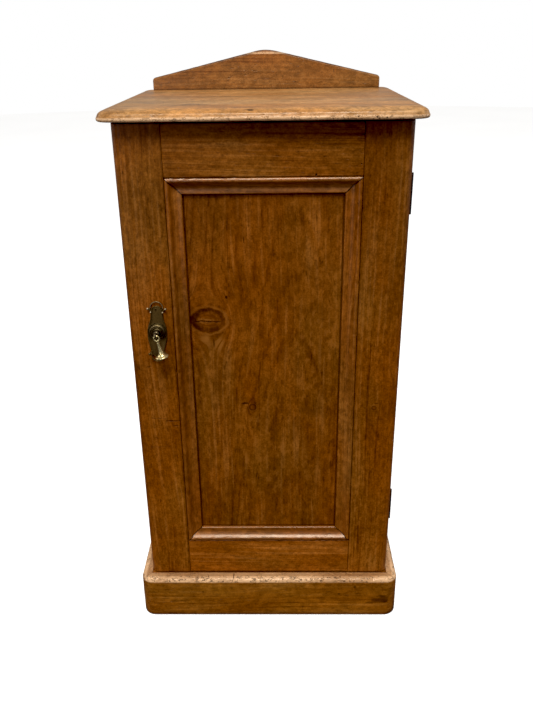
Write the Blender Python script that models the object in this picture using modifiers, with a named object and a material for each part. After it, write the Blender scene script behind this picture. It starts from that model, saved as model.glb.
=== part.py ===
"""A pine pot cupboard: a shelved case on a plinth, closed by one panelled door with a brass turning latch.

Metres, +Z up. The door faces -Y, and the origin is on the floor at the centre of the cupboard's footprint.
Depths in this file are measured back from the door's face, so `back(0.020)` is the Y of the door's rear face.
"""

import math

import bmesh
import bpy
from mathutils import Matrix, Vector

# Overall sizes
CASE_WIDTH = 0.385
CASE_DEPTH = 0.332
TOP_SURFACE = 0.8025
GALLERY_PEAK = 0.0587
GAP = 0.0003
MITRE_GAP = 0.00025

# Boards
SIDE_THICKNESS = 0.018
TOP_THICKNESS = 0.015
TOP_OVERHANG = 0.0165
TOP_FRONT_OVERHANG = 0.016
TOP_CORNER_RADIUS = 0.020
THUMB_RADIUS = 0.009
TOP_UNDER_RADIUS = 0.003
SHELF_THICKNESS = 0.016
SHELF_TOP = 0.4235
BOTTOM_BOARD_TOP = 0.0925
BACK_THICKNESS = 0.009
BACK_REBATE = 0.009
CASE_RAIL_HEIGHT = 0.034
BEARER = 0.018
GALLERY_THICKNESS = 0.014
GALLERY_HALF_WIDTH = 0.185
GALLERY_SHOULDER = 0.0190
DOWEL_RADIUS = 0.004
DOWEL_X = 0.120

# Plinth
PLINTH_THICKNESS = 0.017
PLINTH_HEIGHT = 0.075
PLINTH_CORNER_RADIUS = 0.020
PLINTH_TOP_ROUND = 0.007
MITRE_STEP = 0.5
GLUE_BLOCK = 0.028

# Door
DOOR_THICKNESS = 0.020
DOOR_BOTTOM = 0.0775
DOOR_TOP = 0.7845
DOOR_CLEARANCE = 0.0006
STILE_WIDTH = 0.0635
TOP_RAIL_WIDTH = 0.0675
BOTTOM_RAIL_WIDTH = 0.063
DOOR_EDGE_RADIUS = 0.013
PANEL_RECESS = 0.009
PANEL_THICKNESS = 0.008
PANEL_GROOVE = 0.008
TENON_LENGTH = 0.035
TENON_THICKNESS = 0.007
MOULDING_WIDTH = 0.0224

# Hinges
HINGE_LENGTH = 0.055
HINGE_CENTRES = {"upper": 0.690, "lower": 0.197}
LEAF_THICKNESS = 0.0016
LEAF_WIDTH = 0.015
KNUCKLE_RADIUS = 0.0022
KNUCKLE_SINK = 0.0010
KNUCKLES = 5
PIN_RADIUS = 0.00125
HINGE_SCREW_SPREAD = 0.019
HINGE_SCREW_STAGGER = 0.0015
SCREW_HEAD_RADIUS = 0.0026
SCREW_HEAD_DEPTH = 0.0013
SCREW_SHANK_RADIUS = 0.0014
HINGE_SCREW_LENGTH = 0.012
BEARER_SCREW_LENGTH = 0.026

# Handle and latch. The pendant leans a little to the right, and the latch tongue inside leans with it.
LATCH_X = -0.152
LATCH_Z = 0.5045
LATCH_LEAN = math.radians(-12.5)
SWING_DEPTH = -0.0167
SPINDLE_RADIUS = 0.0030
SPINDLE_FIT = 0.00009
FOOT_RADIUS = 0.0093
PENDANT_LENGTH = 0.033
RING_RADIUS = 0.0033
RING_WIRE = 0.0012
PLATE_THICKNESS = 0.0018
PLATE_TILT = math.radians(2.4)
PLATE_PIN_HEIGHT = 0.0340
TONGUE_LENGTH = 0.034
TONGUE_WIDTH = 0.010
TONGUE_THICKNESS = 0.003
TONGUE_DEPTH = 0.0293
SQUARE_SHANK = 0.0042
MORTISE_DEPTH = 0.013
MORTISE_BELOW = 0.030
MORTISE_ABOVE = 0.008

# Derived sizes
HALF_WIDTH = CASE_WIDTH / 2
INNER_HALF_WIDTH = HALF_WIDTH - SIDE_THICKNESS
HANDLE_REACH = FOOT_RADIUS - SWING_DEPTH
FACE_Y = HANDLE_REACH - (CASE_DEPTH + HANDLE_REACH) / 2
CASE_FRONT = DOOR_THICKNESS + DOOR_CLEARANCE
BACK_FRONT = CASE_DEPTH - BACK_THICKNESS
TOP_UNDERSIDE = TOP_SURFACE - TOP_THICKNESS
OPENING_HALF_WIDTH = HALF_WIDTH - STILE_WIDTH
OPENING_BOTTOM = DOOR_BOTTOM + BOTTOM_RAIL_WIDTH
OPENING_TOP = DOOR_TOP - TOP_RAIL_WIDTH
HINGE_X = HALF_WIDTH + KNUCKLE_RADIUS + 0.00025 - KNUCKLE_SINK
HINGE_DEPTH = DOOR_THICKNESS + DOOR_CLEARANCE / 2
SCREW_X = HALF_WIDTH - LEAF_WIDTH / 2


def back(depth):
    """The Y that lies this far behind the door's face."""
    return FACE_Y + depth


# ---------------------------------------------------------------- scene, materials and small tools


def clear_scene():
    for obj in list(bpy.data.objects):
        bpy.data.objects.remove(obj, do_unlink=True)


def new_collection(name, hidden=False):
    made = bpy.data.collections.new(name)
    made.hide_render = hidden
    bpy.context.scene.collection.children.link(made)
    return made


def new_material(name, colour, roughness, metallic=0.0):
    made = bpy.data.materials.new(name)
    made.use_nodes = True
    shader = made.node_tree.nodes["Principled BSDF"]
    shader.inputs["Base Color"].default_value = (*colour, 1.0)
    shader.inputs["Roughness"].default_value = roughness
    shader.inputs["Metallic"].default_value = metallic
    return made


clear_scene()
PARTS = new_collection("pot_cupboard")
CUTTERS = new_collection("cutters", hidden=True)
PINE = new_material("waxed_pine", (0.36, 0.16, 0.045), 0.38)
BARE_PINE = new_material("bare_pine", (0.50, 0.31, 0.15), 0.70)
IRON = new_material("blackened_iron", (0.035, 0.028, 0.025), 0.55, 1.0)
STEEL = new_material("old_steel", (0.22, 0.19, 0.16), 0.45, 1.0)
BRASS = new_material("aged_brass", (0.33, 0.24, 0.09), 0.35, 1.0)


def place(obj, collection):
    for holder in list(obj.users_collection):
        holder.objects.unlink(obj)
    collection.objects.link(obj)
    return obj


def as_part(obj, name, material, pivot=None):
    """Names a finished object, gives it its material, and hangs it on its joint's empty if it moves."""
    obj.name = name
    obj.data.name = name
    obj.data.materials.clear()
    obj.data.materials.append(material)
    place(obj, PARTS)
    if pivot is not None:
        obj.parent = pivot
        obj.matrix_parent_inverse = pivot.matrix_world.inverted()
    return obj


def as_cutter(obj):
    obj.hide_render = True
    obj.display_type = "WIRE"
    return place(obj, CUTTERS)


def boolean(obj, operation, *others):
    for other in others:
        as_cutter(other)
        modifier = obj.modifiers.new(f"{operation.lower()}_{other.name}", "BOOLEAN")
        modifier.operation = operation
        modifier.solver = "EXACT"
        modifier.object = other
    return obj


def cut(obj, *cutters):
    return boolean(obj, "DIFFERENCE", *cutters)


def join(obj, *others):
    return boolean(obj, "UNION", *others)


def bevel(obj, width, segments=2):
    modifier = obj.modifiers.new("eased_edges", "BEVEL")
    modifier.width = width
    modifier.segments = segments
    modifier.limit_method = "ANGLE"
    modifier.angle_limit = math.radians(40)
    return obj


def box(x, y, z):
    """A plain box between the given limits."""
    bpy.ops.mesh.primitive_cube_add(size=1)
    obj = bpy.context.object
    low, high = Vector((x[0], y[0], z[0])), Vector((x[1], y[1], z[1]))
    obj.data.transform(Matrix.Diagonal((*(high - low), 1.0)))
    obj.location = (low + high) / 2
    return obj


def board(name, x, depth, z, material=BARE_PINE, ease=0.0008, pivot=None):
    """A squared board, given by its limits across, back from the door's face, and up."""
    obj = box(x, (back(depth[0]), back(depth[1])), z)
    return as_part(bevel(obj, ease, 1), name, material, pivot)


def cylinder(radius, length, centre, axis="Z", segments=16, tip_radius=None):
    """A cylinder, or a cone when tip_radius is given, whose axis points along Z, X or -Y."""
    tip = radius if tip_radius is None else tip_radius
    bpy.ops.mesh.primitive_cone_add(
        vertices=segments, radius1=radius, radius2=tip, depth=length, location=centre
    )
    obj = bpy.context.object
    obj.rotation_euler = {
        "Z": (0, 0, 0),
        "X": (0, math.pi / 2, 0),
        "Y": (math.pi / 2, 0, 0),
    }[axis]
    return obj


def arc(centre, radius, start, end, steps):
    """Points round an arc, from one angle to another in degrees."""
    return [
        (
            centre[0] + radius * math.cos(math.radians(start + (end - start) * i / steps)),
            centre[1] + radius * math.sin(math.radians(start + (end - start) * i / steps)),
        )
        for i in range(steps + 1)
    ]


def solid_from_curve(curve_object):
    """Turns a curve object into a mesh object with its caps welded on, and removes the curve."""
    graph = bpy.context.evaluated_depsgraph_get()
    mesh = bpy.data.meshes.new_from_object(curve_object.evaluated_get(graph))
    form = bmesh.new()
    form.from_mesh(mesh)
    bmesh.ops.remove_doubles(form, verts=form.verts, dist=1e-6)
    bmesh.ops.dissolve_limit(
        form, angle_limit=math.radians(0.5), verts=form.verts, edges=form.edges
    )
    bmesh.ops.recalc_face_normals(form, faces=form.faces)
    form.to_mesh(mesh)
    form.free()
    obj = bpy.data.objects.new("solid", mesh)
    obj.matrix_world = curve_object.matrix_world.copy()
    bpy.context.scene.collection.objects.link(obj)
    bpy.data.objects.remove(curve_object)
    return obj


def slab(points, thickness, smooth=False):
    """A closed outline in XY, given a thickness about Z = 0. A smooth one is a curve through its points."""
    data = bpy.data.curves.new("outline", "CURVE")
    data.dimensions = "2D"
    data.fill_mode = "BOTH"
    data.extrude = thickness / 2
    data.resolution_u = 4
    spline = data.splines.new("BEZIER" if smooth else "POLY")
    if smooth:
        spline.bezier_points.add(len(points) - 1)
        for knot, point in zip(spline.bezier_points, points):
            knot.co = (*point, 0)
            knot.handle_left_type = knot.handle_right_type = "AUTO"
    else:
        spline.points.add(len(points) - 1)
        for knot, point in zip(spline.points, points):
            knot.co = (*point, 0, 1)
    spline.use_cyclic_u = True
    curve_object = bpy.data.objects.new("outline", data)
    bpy.context.scene.collection.objects.link(curve_object)
    bpy.context.view_layer.update()
    return solid_from_curve(curve_object)


def upright_slab(points, z):
    """An outline seen from above, raised between two heights."""
    obj = slab(points, z[1] - z[0])
    obj.data.transform(Matrix.Translation((0, 0, sum(z) / 2)))
    return obj


def facing_slab(points, depth, smooth=False):
    """An outline of X and Z points seen from the front, between two depths."""
    obj = slab(points, depth[1] - depth[0], smooth)
    obj.data.transform(
        Matrix.Translation((0, back(sum(depth) / 2), 0)) @ Matrix.Rotation(math.pi / 2, 4, "X")
    )
    return obj


def round_over(obj, height, wanted, radius, segments):
    """Rounds the edges at a height whose midpoints pass a test of their position."""
    form = bmesh.new()
    form.from_mesh(obj.data)
    edges = [
        e
        for e in form.edges
        if all(abs(v.co.z - height) < 1e-5 for v in e.verts)
        and wanted((e.verts[0].co + e.verts[1].co) / 2)
    ]
    bmesh.ops.bevel(
        form, geom=edges, offset=radius, segments=segments, profile=0.5, affect="EDGES"
    )
    form.to_mesh(obj.data)
    form.free()
    return obj


def turned(profile, steps=20, closed=False):
    """A turned shape about Z from radius and height pairs that run down its outer side."""
    mesh = bpy.data.meshes.new("turned")
    count = len(profile)
    edges = [(i, i + 1) for i in range(count - 1)]
    if closed:
        edges.append((count - 1, 0))
    mesh.from_pydata([(radius, 0, height) for radius, height in profile], edges, [])
    obj = bpy.data.objects.new("turned", mesh)
    bpy.context.scene.collection.objects.link(obj)
    screw = obj.modifiers.new("turning", "SCREW")
    screw.steps = steps
    screw.render_steps = steps
    screw.use_merge_vertices = True
    screw.merge_threshold = 1e-5
    return obj


def new_pivot(name, location, holder=None):
    """An empty on a joint's axis, hung on the empty of the joint that carries it."""
    pivot = bpy.data.objects.new(name, None)
    pivot.location = location
    pivot.empty_display_size = 0.03
    PARTS.objects.link(pivot)
    if holder is not None:
        pivot.parent = holder
        pivot.location = Vector(location) - holder.matrix_world.translation
    bpy.context.view_layer.update()
    return pivot


# ---------------------------------------------------------------- screws


def wood_screw(name, head_at, axis, length, pivot=None):
    """A slotted countersunk screw whose head lies at a point and which runs along an axis vector."""
    r, head, shank = SCREW_HEAD_RADIUS, SCREW_HEAD_DEPTH, SCREW_SHANK_RADIUS
    profile = [
        (0, 0),
        (r, 0),
        (r, -0.0002),
        (shank, -head),
        (shank, -length * 0.7),
        (0, -length),
    ]
    screw = turned(profile, 12)
    slot = box((-r * 1.2, r * 1.2), (-0.0003, 0.0003), (-0.0005, 0.001))
    turn = Vector((0, 0, -1)).rotation_difference(Vector(axis)).to_matrix().to_4x4()
    for obj in (screw, slot):
        obj.matrix_world = Matrix.Translation(head_at) @ turn
    cut(screw, slot)
    return as_part(screw, name, STEEL, pivot)


def screw_hole(head_at, axis, length):
    """The countersink and pilot hole that a wood_screw at the same place needs, as one cutter."""
    r, head, shank = SCREW_HEAD_RADIUS, SCREW_HEAD_DEPTH, SCREW_SHANK_RADIUS
    profile = [
        (0, 0.002),
        (r + GAP, 0.002),
        (r + GAP, -0.0002),
        (shank + GAP, -head - 0.0001),
        (shank + GAP, -length * 0.75),
        (0, -length - 0.001),
    ]
    hole = turned(profile, 12)
    turn = Vector((0, 0, -1)).rotation_difference(Vector(axis)).to_matrix().to_4x4()
    hole.matrix_world = Matrix.Translation(head_at) @ turn
    return hole


# ---------------------------------------------------------------- hinge layout, shared by wood and iron


def hinge_screw_points(centre, face_depth):
    """Where the three screw heads of one leaf lie, on the given depth."""
    return [
        Vector(
            (
                SCREW_X + HINGE_SCREW_STAGGER * (1 if i == 0 else -1),
                back(face_depth),
                centre + i * HINGE_SCREW_SPREAD,
            )
        )
        for i in (-1, 0, 1)
    ]


CASE_LEAF_FACE = CASE_FRONT
DOOR_LEAF_FACE = DOOR_THICKNESS
HEAD_SINK = 0.0001


def leaf_recess(centre, face_depth, direction):
    """The shallow bed that a hinge leaf lies in. direction is +1 into the case and -1 into the door."""
    near, far = face_depth - direction * 0.002, face_depth + direction * (LEAF_THICKNESS + GAP)
    half = HINGE_LENGTH / 2 + GAP
    return box(
        (HALF_WIDTH - LEAF_WIDTH - GAP, HALF_WIDTH + 0.002),
        sorted((back(near), back(far))),
        (centre - half, centre + half),
    )


def knuckle_recess(centre):
    """The notch along the edges of the door and the case that the knuckles are sunk in."""
    half, reach = HINGE_LENGTH / 2 + 2 * GAP, KNUCKLE_RADIUS + GAP
    return box(
        (HALF_WIDTH - KNUCKLE_SINK, HALF_WIDTH + 0.002),
        (back(HINGE_DEPTH - reach), back(HINGE_DEPTH + reach)),
        (centre - half, centre + half),
    )


def cut_hinge_beds(obj, face_depth, direction):
    for centre in HINGE_CENTRES.values():
        cut(obj, leaf_recess(centre, face_depth, direction))
        cut(obj, knuckle_recess(centre))
        for point in hinge_screw_points(centre, face_depth + direction * HEAD_SINK):
            cut(obj, screw_hole(point, (0, direction, 0), HINGE_SCREW_LENGTH))
    return obj


# ---------------------------------------------------------------- case


def bearer_screw_points(side):
    """Heads of the two screws that hold a shelf bearer, on its inner face. side is -1 left, +1 right."""
    x = side * (INNER_HALF_WIDTH - GAP - BEARER + HEAD_SINK)
    z = SHELF_TOP - SHELF_THICKNESS - GAP - BEARER / 2
    return [Vector((x, back(depth), z)) for depth in (0.080, 0.290)]


def make_side(name, side):
    inner, outer = side * INNER_HALF_WIDTH, side * HALF_WIDTH
    obj = board(
        name,
        sorted((inner, outer)),
        (CASE_FRONT, CASE_DEPTH),
        (0, TOP_UNDERSIDE - GAP),
        PINE,
    )
    rebate = box(
        sorted((inner - side * 0.002, inner + side * BACK_REBATE)),
        (back(BACK_FRONT - GAP), back(CASE_DEPTH + 0.002)),
        (0.018, TOP_SURFACE),
    )
    cut(obj, rebate)
    for point in bearer_screw_points(side):
        cut(obj, screw_hole(point, (side, 0, 0), BEARER_SCREW_LENGTH))
    return obj


def make_latch_mortise():
    """The slot in the left side that the latch tongue turns into."""
    reach = (-INNER_HALF_WIDTH - MORTISE_DEPTH, -INNER_HALF_WIDTH + 0.002)
    tongue_back = TONGUE_DEPTH + TONGUE_THICKNESS
    depth = (back(TONGUE_DEPTH - 0.0007), back(tongue_back + 0.0015))
    return box(reach, depth, (LATCH_Z - MORTISE_BELOW, LATCH_Z + MORTISE_ABOVE))


def make_case():
    left = make_side("side_left", -1)
    cut(left, make_latch_mortise())
    right = make_side("side_right", 1)
    cut_hinge_beds(right, CASE_LEAF_FACE, 1)

    inside = (-INNER_HALF_WIDTH + GAP, INNER_HALF_WIDTH - GAP)
    depth = (CASE_FRONT, BACK_FRONT - 2 * GAP)
    bottom = BOTTOM_BOARD_TOP - SIDE_THICKNESS
    board("bottom_board", inside, depth, (bottom, BOTTOM_BOARD_TOP))
    shelf_depth = (CASE_FRONT + 0.006, BACK_FRONT - 2 * GAP)
    board("shelf", inside, shelf_depth, (SHELF_TOP - SHELF_THICKNESS, SHELF_TOP))

    rail = (TOP_UNDERSIDE - GAP - CASE_RAIL_HEIGHT, TOP_UNDERSIDE - GAP)
    board("case_front_rail", inside, (CASE_FRONT, CASE_FRONT + SIDE_THICKNESS), rail)
    rear = BACK_FRONT - 2 * GAP
    board("case_back_rail", inside, (rear - SIDE_THICKNESS, rear), rail)

    bearer_top = SHELF_TOP - SHELF_THICKNESS - GAP
    for name, side in (("shelf_bearer_left", -1), ("shelf_bearer_right", 1)):
        wall = side * (INNER_HALF_WIDTH - GAP)
        bearer = board(
            name,
            sorted((wall - side * BEARER, wall)),
            (CASE_FRONT + 0.010, rear - 0.004),
            (bearer_top - BEARER, bearer_top),
        )
        for i, point in enumerate(bearer_screw_points(side)):
            cut(bearer, screw_hole(point, (side, 0, 0), BEARER_SCREW_LENGTH))
            wood_screw(f"{name}_screw_{i + 1}", point, (side, 0, 0), BEARER_SCREW_LENGTH)


def make_back_boards():
    """Three tongued and grooved boards in the rebates of the sides."""
    reach = INNER_HALF_WIDTH + BACK_REBATE - GAP
    joints = (-reach, -reach / 3, reach / 3, reach)
    tongue_reach, tongue_half = 0.005, 0.0014
    middle = back((BACK_FRONT + CASE_DEPTH) / 2)
    z = (0.020, TOP_UNDERSIDE - GAP)
    for i, name in enumerate(("back_board_left", "back_board_middle", "back_board_right")):
        x = (joints[i], joints[i + 1] - (GAP if i < 2 else 0))
        made = board(name, x, (BACK_FRONT, CASE_DEPTH), z)
        if i < 2:
            tongue = box(
                (x[1] - 0.002, x[1] + tongue_reach),
                (middle - tongue_half, middle + tongue_half),
                (z[0] + 0.001, z[1] - 0.001),
            )
            join(made, tongue)
        if i > 0:
            half = tongue_half + GAP
            groove = box(
                (x[0] - 0.002, x[0] + tongue_reach + GAP),
                (middle - half, middle + half),
                (z[0] - 0.001, z[1] + 0.001),
            )
            cut(made, groove)


def make_top_board():
    """The top, with rounded front corners and a thumb moulding on its front and sides."""
    half = HALF_WIDTH + TOP_OVERHANG
    front, rear = back(-TOP_FRONT_OVERHANG), back(CASE_DEPTH)
    r = TOP_CORNER_RADIUS
    outline = [
        (-half, rear),
        *arc((-half + r, front + r), r, 180, 270, 5),
        *arc((half - r, front + r), r, 270, 360, 5),
        (half, rear),
    ]
    obj = upright_slab(outline, (TOP_UNDERSIDE, TOP_SURFACE))

    def off_the_back(point):
        return point.y < rear - 0.001

    round_over(obj, TOP_SURFACE, off_the_back, THUMB_RADIUS, 4)
    round_over(obj, TOP_UNDERSIDE, off_the_back, TOP_UNDER_RADIUS, 2)
    for side in (-1, 1):
        cut(obj, dowel_hole(side))
    return as_part(obj, "top_board", PINE)


def dowel_centre(side):
    return (side * DOWEL_X, back(CASE_DEPTH - GALLERY_THICKNESS / 2), TOP_SURFACE)


def dowel_hole(side):
    return cylinder(DOWEL_RADIUS + GAP, 0.0256, dowel_centre(side))


def make_gallery():
    """The low pitched board that stands on the back of the top, on two dowels."""
    w, base = GALLERY_HALF_WIDTH, TOP_SURFACE + GAP
    shoulder, peak = base + GALLERY_SHOULDER, base + GALLERY_PEAK
    pitch = math.degrees(math.atan2(GALLERY_PEAK - GALLERY_SHOULDER - 0.003, w - 0.016))
    crown = 0.075
    corner = 0.005
    outline = [
        (w, base),
        *arc((w - corner, shoulder - corner), corner, 0, 90 - pitch, 3),
        *arc((0, peak - crown), crown, 90 - pitch, 90 + pitch, 8),
        *arc((-w + corner, shoulder - corner), corner, 90 + pitch, 180, 3),
        (-w, base),
    ]
    obj = facing_slab(outline, (CASE_DEPTH - GALLERY_THICKNESS, CASE_DEPTH))
    bevel(obj, 0.0015, 2)
    for side, name in ((-1, "gallery_dowel_left"), (1, "gallery_dowel_right")):
        cut(obj, dowel_hole(side))
        dowel = bevel(cylinder(DOWEL_RADIUS, 0.025, dowel_centre(side)), 0.0006, 1)
        as_part(dowel, name, BARE_PINE)
    return as_part(obj, "gallery_board", PINE)


# ---------------------------------------------------------------- plinth


def make_plinth():
    """Three mitred boards with a rounded top edge, on a rail and two glue blocks."""
    t, r = PLINTH_THICKNESS, PLINTH_CORNER_RADIUS
    outer, inner = HALF_WIDTH + t, HALF_WIDTH + GAP
    front, inside_front, rear = back(-t), back(-GAP), back(CASE_DEPTH)
    left_bend, right_bend = (-outer + r, front + r), (outer - r, front + r)
    z = (0, PLINTH_HEIGHT)
    front_outline = [
        (-inner + MITRE_GAP, inside_front),
        *arc(left_bend, r, 225 + MITRE_STEP, 270, 3),
        *arc(right_bend, r, 270, 315 - MITRE_STEP, 3),
        (inner - MITRE_GAP, inside_front),
    ]
    side_outline = [
        (inner, inside_front + MITRE_GAP),
        *arc(right_bend, r, 315 + MITRE_STEP, 360, 3),
        (outer, rear),
        (inner, rear),
    ]
    middle = t / 2 + 0.001

    front_board = upright_slab(front_outline, z)
    round_over(
        front_board, PLINTH_HEIGHT, lambda mid: mid.y < back(-middle), PLINTH_TOP_ROUND, 4
    )
    as_part(front_board, "plinth_front", PINE)
    for name, side in (("plinth_left", -1), ("plinth_right", 1)):
        made = upright_slab([(side * x, y) for x, y in side_outline], z)
        round_over(
            made,
            PLINTH_HEIGHT,
            lambda mid: abs(mid.x) > HALF_WIDTH + middle,
            PLINTH_TOP_ROUND,
            4,
        )
        as_part(made, name, PINE)

    board(
        "base_front_rail",
        (-HALF_WIDTH, HALF_WIDTH),
        (0, CASE_FRONT - GAP),
        (0, PLINTH_HEIGHT - GAP),
    )
    for name, side in (("glue_block_left", -1), ("glue_block_right", 1)):
        wall = side * (INNER_HALF_WIDTH - GAP)
        board(
            name,
            sorted((wall - side * GLUE_BLOCK, wall)),
            (CASE_FRONT, CASE_FRONT + GLUE_BLOCK),
            (0.004, BOTTOM_BOARD_TOP - SIDE_THICKNESS - GAP),
        )


# ---------------------------------------------------------------- door


def make_stile(name, side, pivot):
    """A door stile with its outer front edge rounded, the panel groove, and two blind mortises."""
    outer, inner = HALF_WIDTH, OPENING_HALF_WIDTH
    r = DOOR_EDGE_RADIUS
    corner = arc((outer - r, back(r)), r, 270, 360, 6)
    outline = [
        (inner, back(0)),
        *corner,
        (outer, back(DOOR_THICKNESS)),
        (inner, back(DOOR_THICKNESS)),
    ]
    obj = upright_slab([(side * x, y) for x, y in outline], (DOOR_BOTTOM, DOOR_TOP))

    groove_reach = PANEL_GROOVE + GAP
    groove = box(
        sorted((side * (inner - 0.002), side * (inner + groove_reach))),
        (back(PANEL_RECESS - GAP), back(PANEL_RECESS + PANEL_THICKNESS + GAP)),
        (OPENING_BOTTOM - groove_reach, OPENING_TOP + groove_reach),
    )
    cut(obj, groove)
    for low, high in tenon_heights():
        mortise = box(
            sorted((side * (inner - 0.002), side * (inner + TENON_LENGTH + GAP))),
            tenon_depths(GAP),
            (low - GAP, high + GAP),
        )
        cut(obj, mortise)
    return as_part(obj, name, PINE, pivot)


def tenon_heights():
    """The heights of the bottom and the top rail's tenons."""
    shoulder = 0.010
    return (
        (DOOR_BOTTOM + shoulder, OPENING_BOTTOM - shoulder),
        (OPENING_TOP + shoulder, DOOR_TOP - shoulder),
    )


def tenon_depths(spare=0.0):
    middle, half = DOOR_THICKNESS / 2, TENON_THICKNESS / 2 + spare
    return (back(middle - half), back(middle + half))


def make_rail(name, z, groove_z, tenon_z, pivot):
    half = OPENING_HALF_WIDTH - GAP
    obj = board(name, (-half, half), (0, DOOR_THICKNESS), z, PINE, pivot=pivot)
    reach = OPENING_HALF_WIDTH + TENON_LENGTH
    join(obj, box((-reach, reach), tenon_depths(), tenon_z))
    groove = box(
        (-half - 0.002, half + 0.002),
        (back(PANEL_RECESS - GAP), back(PANEL_RECESS + PANEL_THICKNESS + GAP)),
        groove_z,
    )
    cut(obj, groove)
    return obj


def moulding_profile():
    """The moulding's section: distance in from the frame, and height above the panel.

    From the frame inwards: a proud bead, a long hollow and a small round on the panel."""
    bead = arc((0.0039, 0.0073), 0.0036, 180, 36, 7)
    hollow = arc((0.0156, 0.0133), 0.0094, 216, 282, 7)
    inner_round = arc((0.0206, 0.0026), MOULDING_WIDTH - 0.0206, 100, 0, 4)
    return [(GAP, GAP), *bead, *hollow, *inner_round, (MOULDING_WIDTH, GAP)]


def make_mouldings(pivot):
    """Four mitred strips planted round the panel, one section run along each edge of the opening."""
    half_w = OPENING_HALF_WIDTH
    half_h = (OPENING_TOP - OPENING_BOTTOM) / 2
    centre = Matrix.Translation((0, back(PANEL_RECESS), (OPENING_TOP + OPENING_BOTTOM) / 2))
    places = (
        ("moulding_bottom", 0, half_h, half_w),
        ("moulding_right", 90, half_w, half_h),
        ("moulding_top", 180, half_h, half_w),
        ("moulding_left", 270, half_w, half_h),
    )
    for name, turn, distance, half_length in places:
        strip = slab(moulding_profile(), 2 * half_length)
        # Each end is sheared to 45 degrees: the further in from the frame, the shorter the strip.
        for vertex in strip.data.vertices:
            distance_in, _, along = vertex.co
            vertex.co.z = math.copysign(half_length - distance_in - MITRE_GAP, along)
        # The section's X runs up the door from its bottom edge, and its Y out towards the front.
        lie_along = Matrix(((0, 0, 1, 0), (0, -1, 0, 0), (1, 0, 0, -distance), (0, 0, 0, 1)))
        spin = Matrix.Rotation(math.radians(-turn), 4, "Y")
        strip.matrix_world = centre @ spin @ lie_along
        as_part(strip, name, PINE, pivot)


def make_door(pivot):
    latch_stile = make_stile("door_latch_stile", -1, pivot)
    spindle_centre = (LATCH_X, back(DOOR_THICKNESS / 2), LATCH_Z)
    cut(latch_stile, cylinder(SPINDLE_RADIUS + SPINDLE_FIT, 0.03, spindle_centre, "Y", 32))
    for z in handle_pin_heights():
        hole_centre = (LATCH_X, back(0.0045), z)
        cut(latch_stile, cylinder(0.0008 + GAP, 0.012, hole_centre, "Y", 12))

    hinge_stile = make_stile("door_hinge_stile", 1, pivot)
    cut_hinge_beds(hinge_stile, DOOR_LEAF_FACE, -1)

    reach = PANEL_GROOVE + GAP
    bottom_tenon, top_tenon = tenon_heights()
    make_rail(
        "door_bottom_rail",
        (DOOR_BOTTOM, OPENING_BOTTOM),
        (OPENING_BOTTOM - reach, OPENING_BOTTOM + 0.002),
        bottom_tenon,
        pivot,
    )
    make_rail(
        "door_top_rail",
        (OPENING_TOP, DOOR_TOP),
        (OPENING_TOP - 0.002, OPENING_TOP + reach),
        top_tenon,
        pivot,
    )
    side_fit = OPENING_HALF_WIDTH + PANEL_GROOVE - 0.001
    board(
        "door_panel",
        (-side_fit, side_fit),
        (PANEL_RECESS, PANEL_RECESS + PANEL_THICKNESS),
        (OPENING_BOTTOM - PANEL_GROOVE + 0.001, OPENING_TOP + PANEL_GROOVE - 0.001),
        PINE,
        pivot=pivot,
    )
    make_mouldings(pivot)


# ---------------------------------------------------------------- hinges


def knuckle_limits(centre, index):
    """The lowest and highest point of one of the hinge's knuckles, counted from the bottom."""
    pitch = HINGE_LENGTH / KNUCKLES
    low = centre - HINGE_LENGTH / 2 + index * pitch
    return low + GAP / 2, low + pitch - GAP / 2


def make_leaf(name, centre, face_depth, direction, own_knuckles, pivot=None):
    """A cast leaf and its knuckles. direction is +1 for the case's leaf and -1 for the door's."""
    depths = sorted((face_depth, face_depth + direction * LEAF_THICKNESS))
    y = (back(depths[0]), back(depths[1]))
    half = HINGE_LENGTH / 2
    edge = HALF_WIDTH - GAP - KNUCKLE_SINK
    leaf = box((HALF_WIDTH - LEAF_WIDTH, edge), y, (centre - half, centre + half))
    for index in own_knuckles:
        low, high = knuckle_limits(centre, index)
        tab = box((HALF_WIDTH - 0.004, HINGE_X), y, (low, high))
        barrel = cylinder(
            KNUCKLE_RADIUS, high - low, (HINGE_X, back(HINGE_DEPTH), (low + high) / 2)
        )
        join(leaf, tab, barrel)
    bore_centre = (HINGE_X, back(HINGE_DEPTH), centre)
    cut(leaf, cylinder(PIN_RADIUS + 0.0001, HINGE_LENGTH + 0.01, bore_centre, segments=24))
    for point in hinge_screw_points(centre, face_depth + direction * HEAD_SINK):
        cut(leaf, screw_hole(point, (0, direction, 0), HINGE_SCREW_LENGTH))
    return as_part(leaf, name, IRON, pivot)


def make_hinges(pivot):
    for place_name, centre in HINGE_CENTRES.items():
        hinge = f"hinge_{place_name}"
        make_leaf(f"{hinge}_case_leaf", centre, CASE_LEAF_FACE, 1, (0, 2, 4))
        make_leaf(f"{hinge}_door_leaf", centre, DOOR_LEAF_FACE, -1, (1, 3), pivot)
        pin = cylinder(
            PIN_RADIUS, HINGE_LENGTH, (HINGE_X, back(HINGE_DEPTH), centre), segments=24
        )
        as_part(pin, f"{hinge}_pin", STEEL)
        for member, depth, direction, holder in (
            ("case", CASE_LEAF_FACE + HEAD_SINK, 1, None),
            ("door", DOOR_LEAF_FACE - HEAD_SINK, -1, pivot),
        ):
            for i, point in enumerate(hinge_screw_points(centre, depth)):
                screw_name = f"{hinge}_{member}_screw_{i + 1}"
                wood_screw(screw_name, point, (0, direction, 0), HINGE_SCREW_LENGTH, holder)


# ---------------------------------------------------------------- handle and latch


def handle_pin_heights():
    return (LATCH_Z + PLATE_PIN_HEIGHT, LATCH_Z - PLATE_PIN_HEIGHT)


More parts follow.
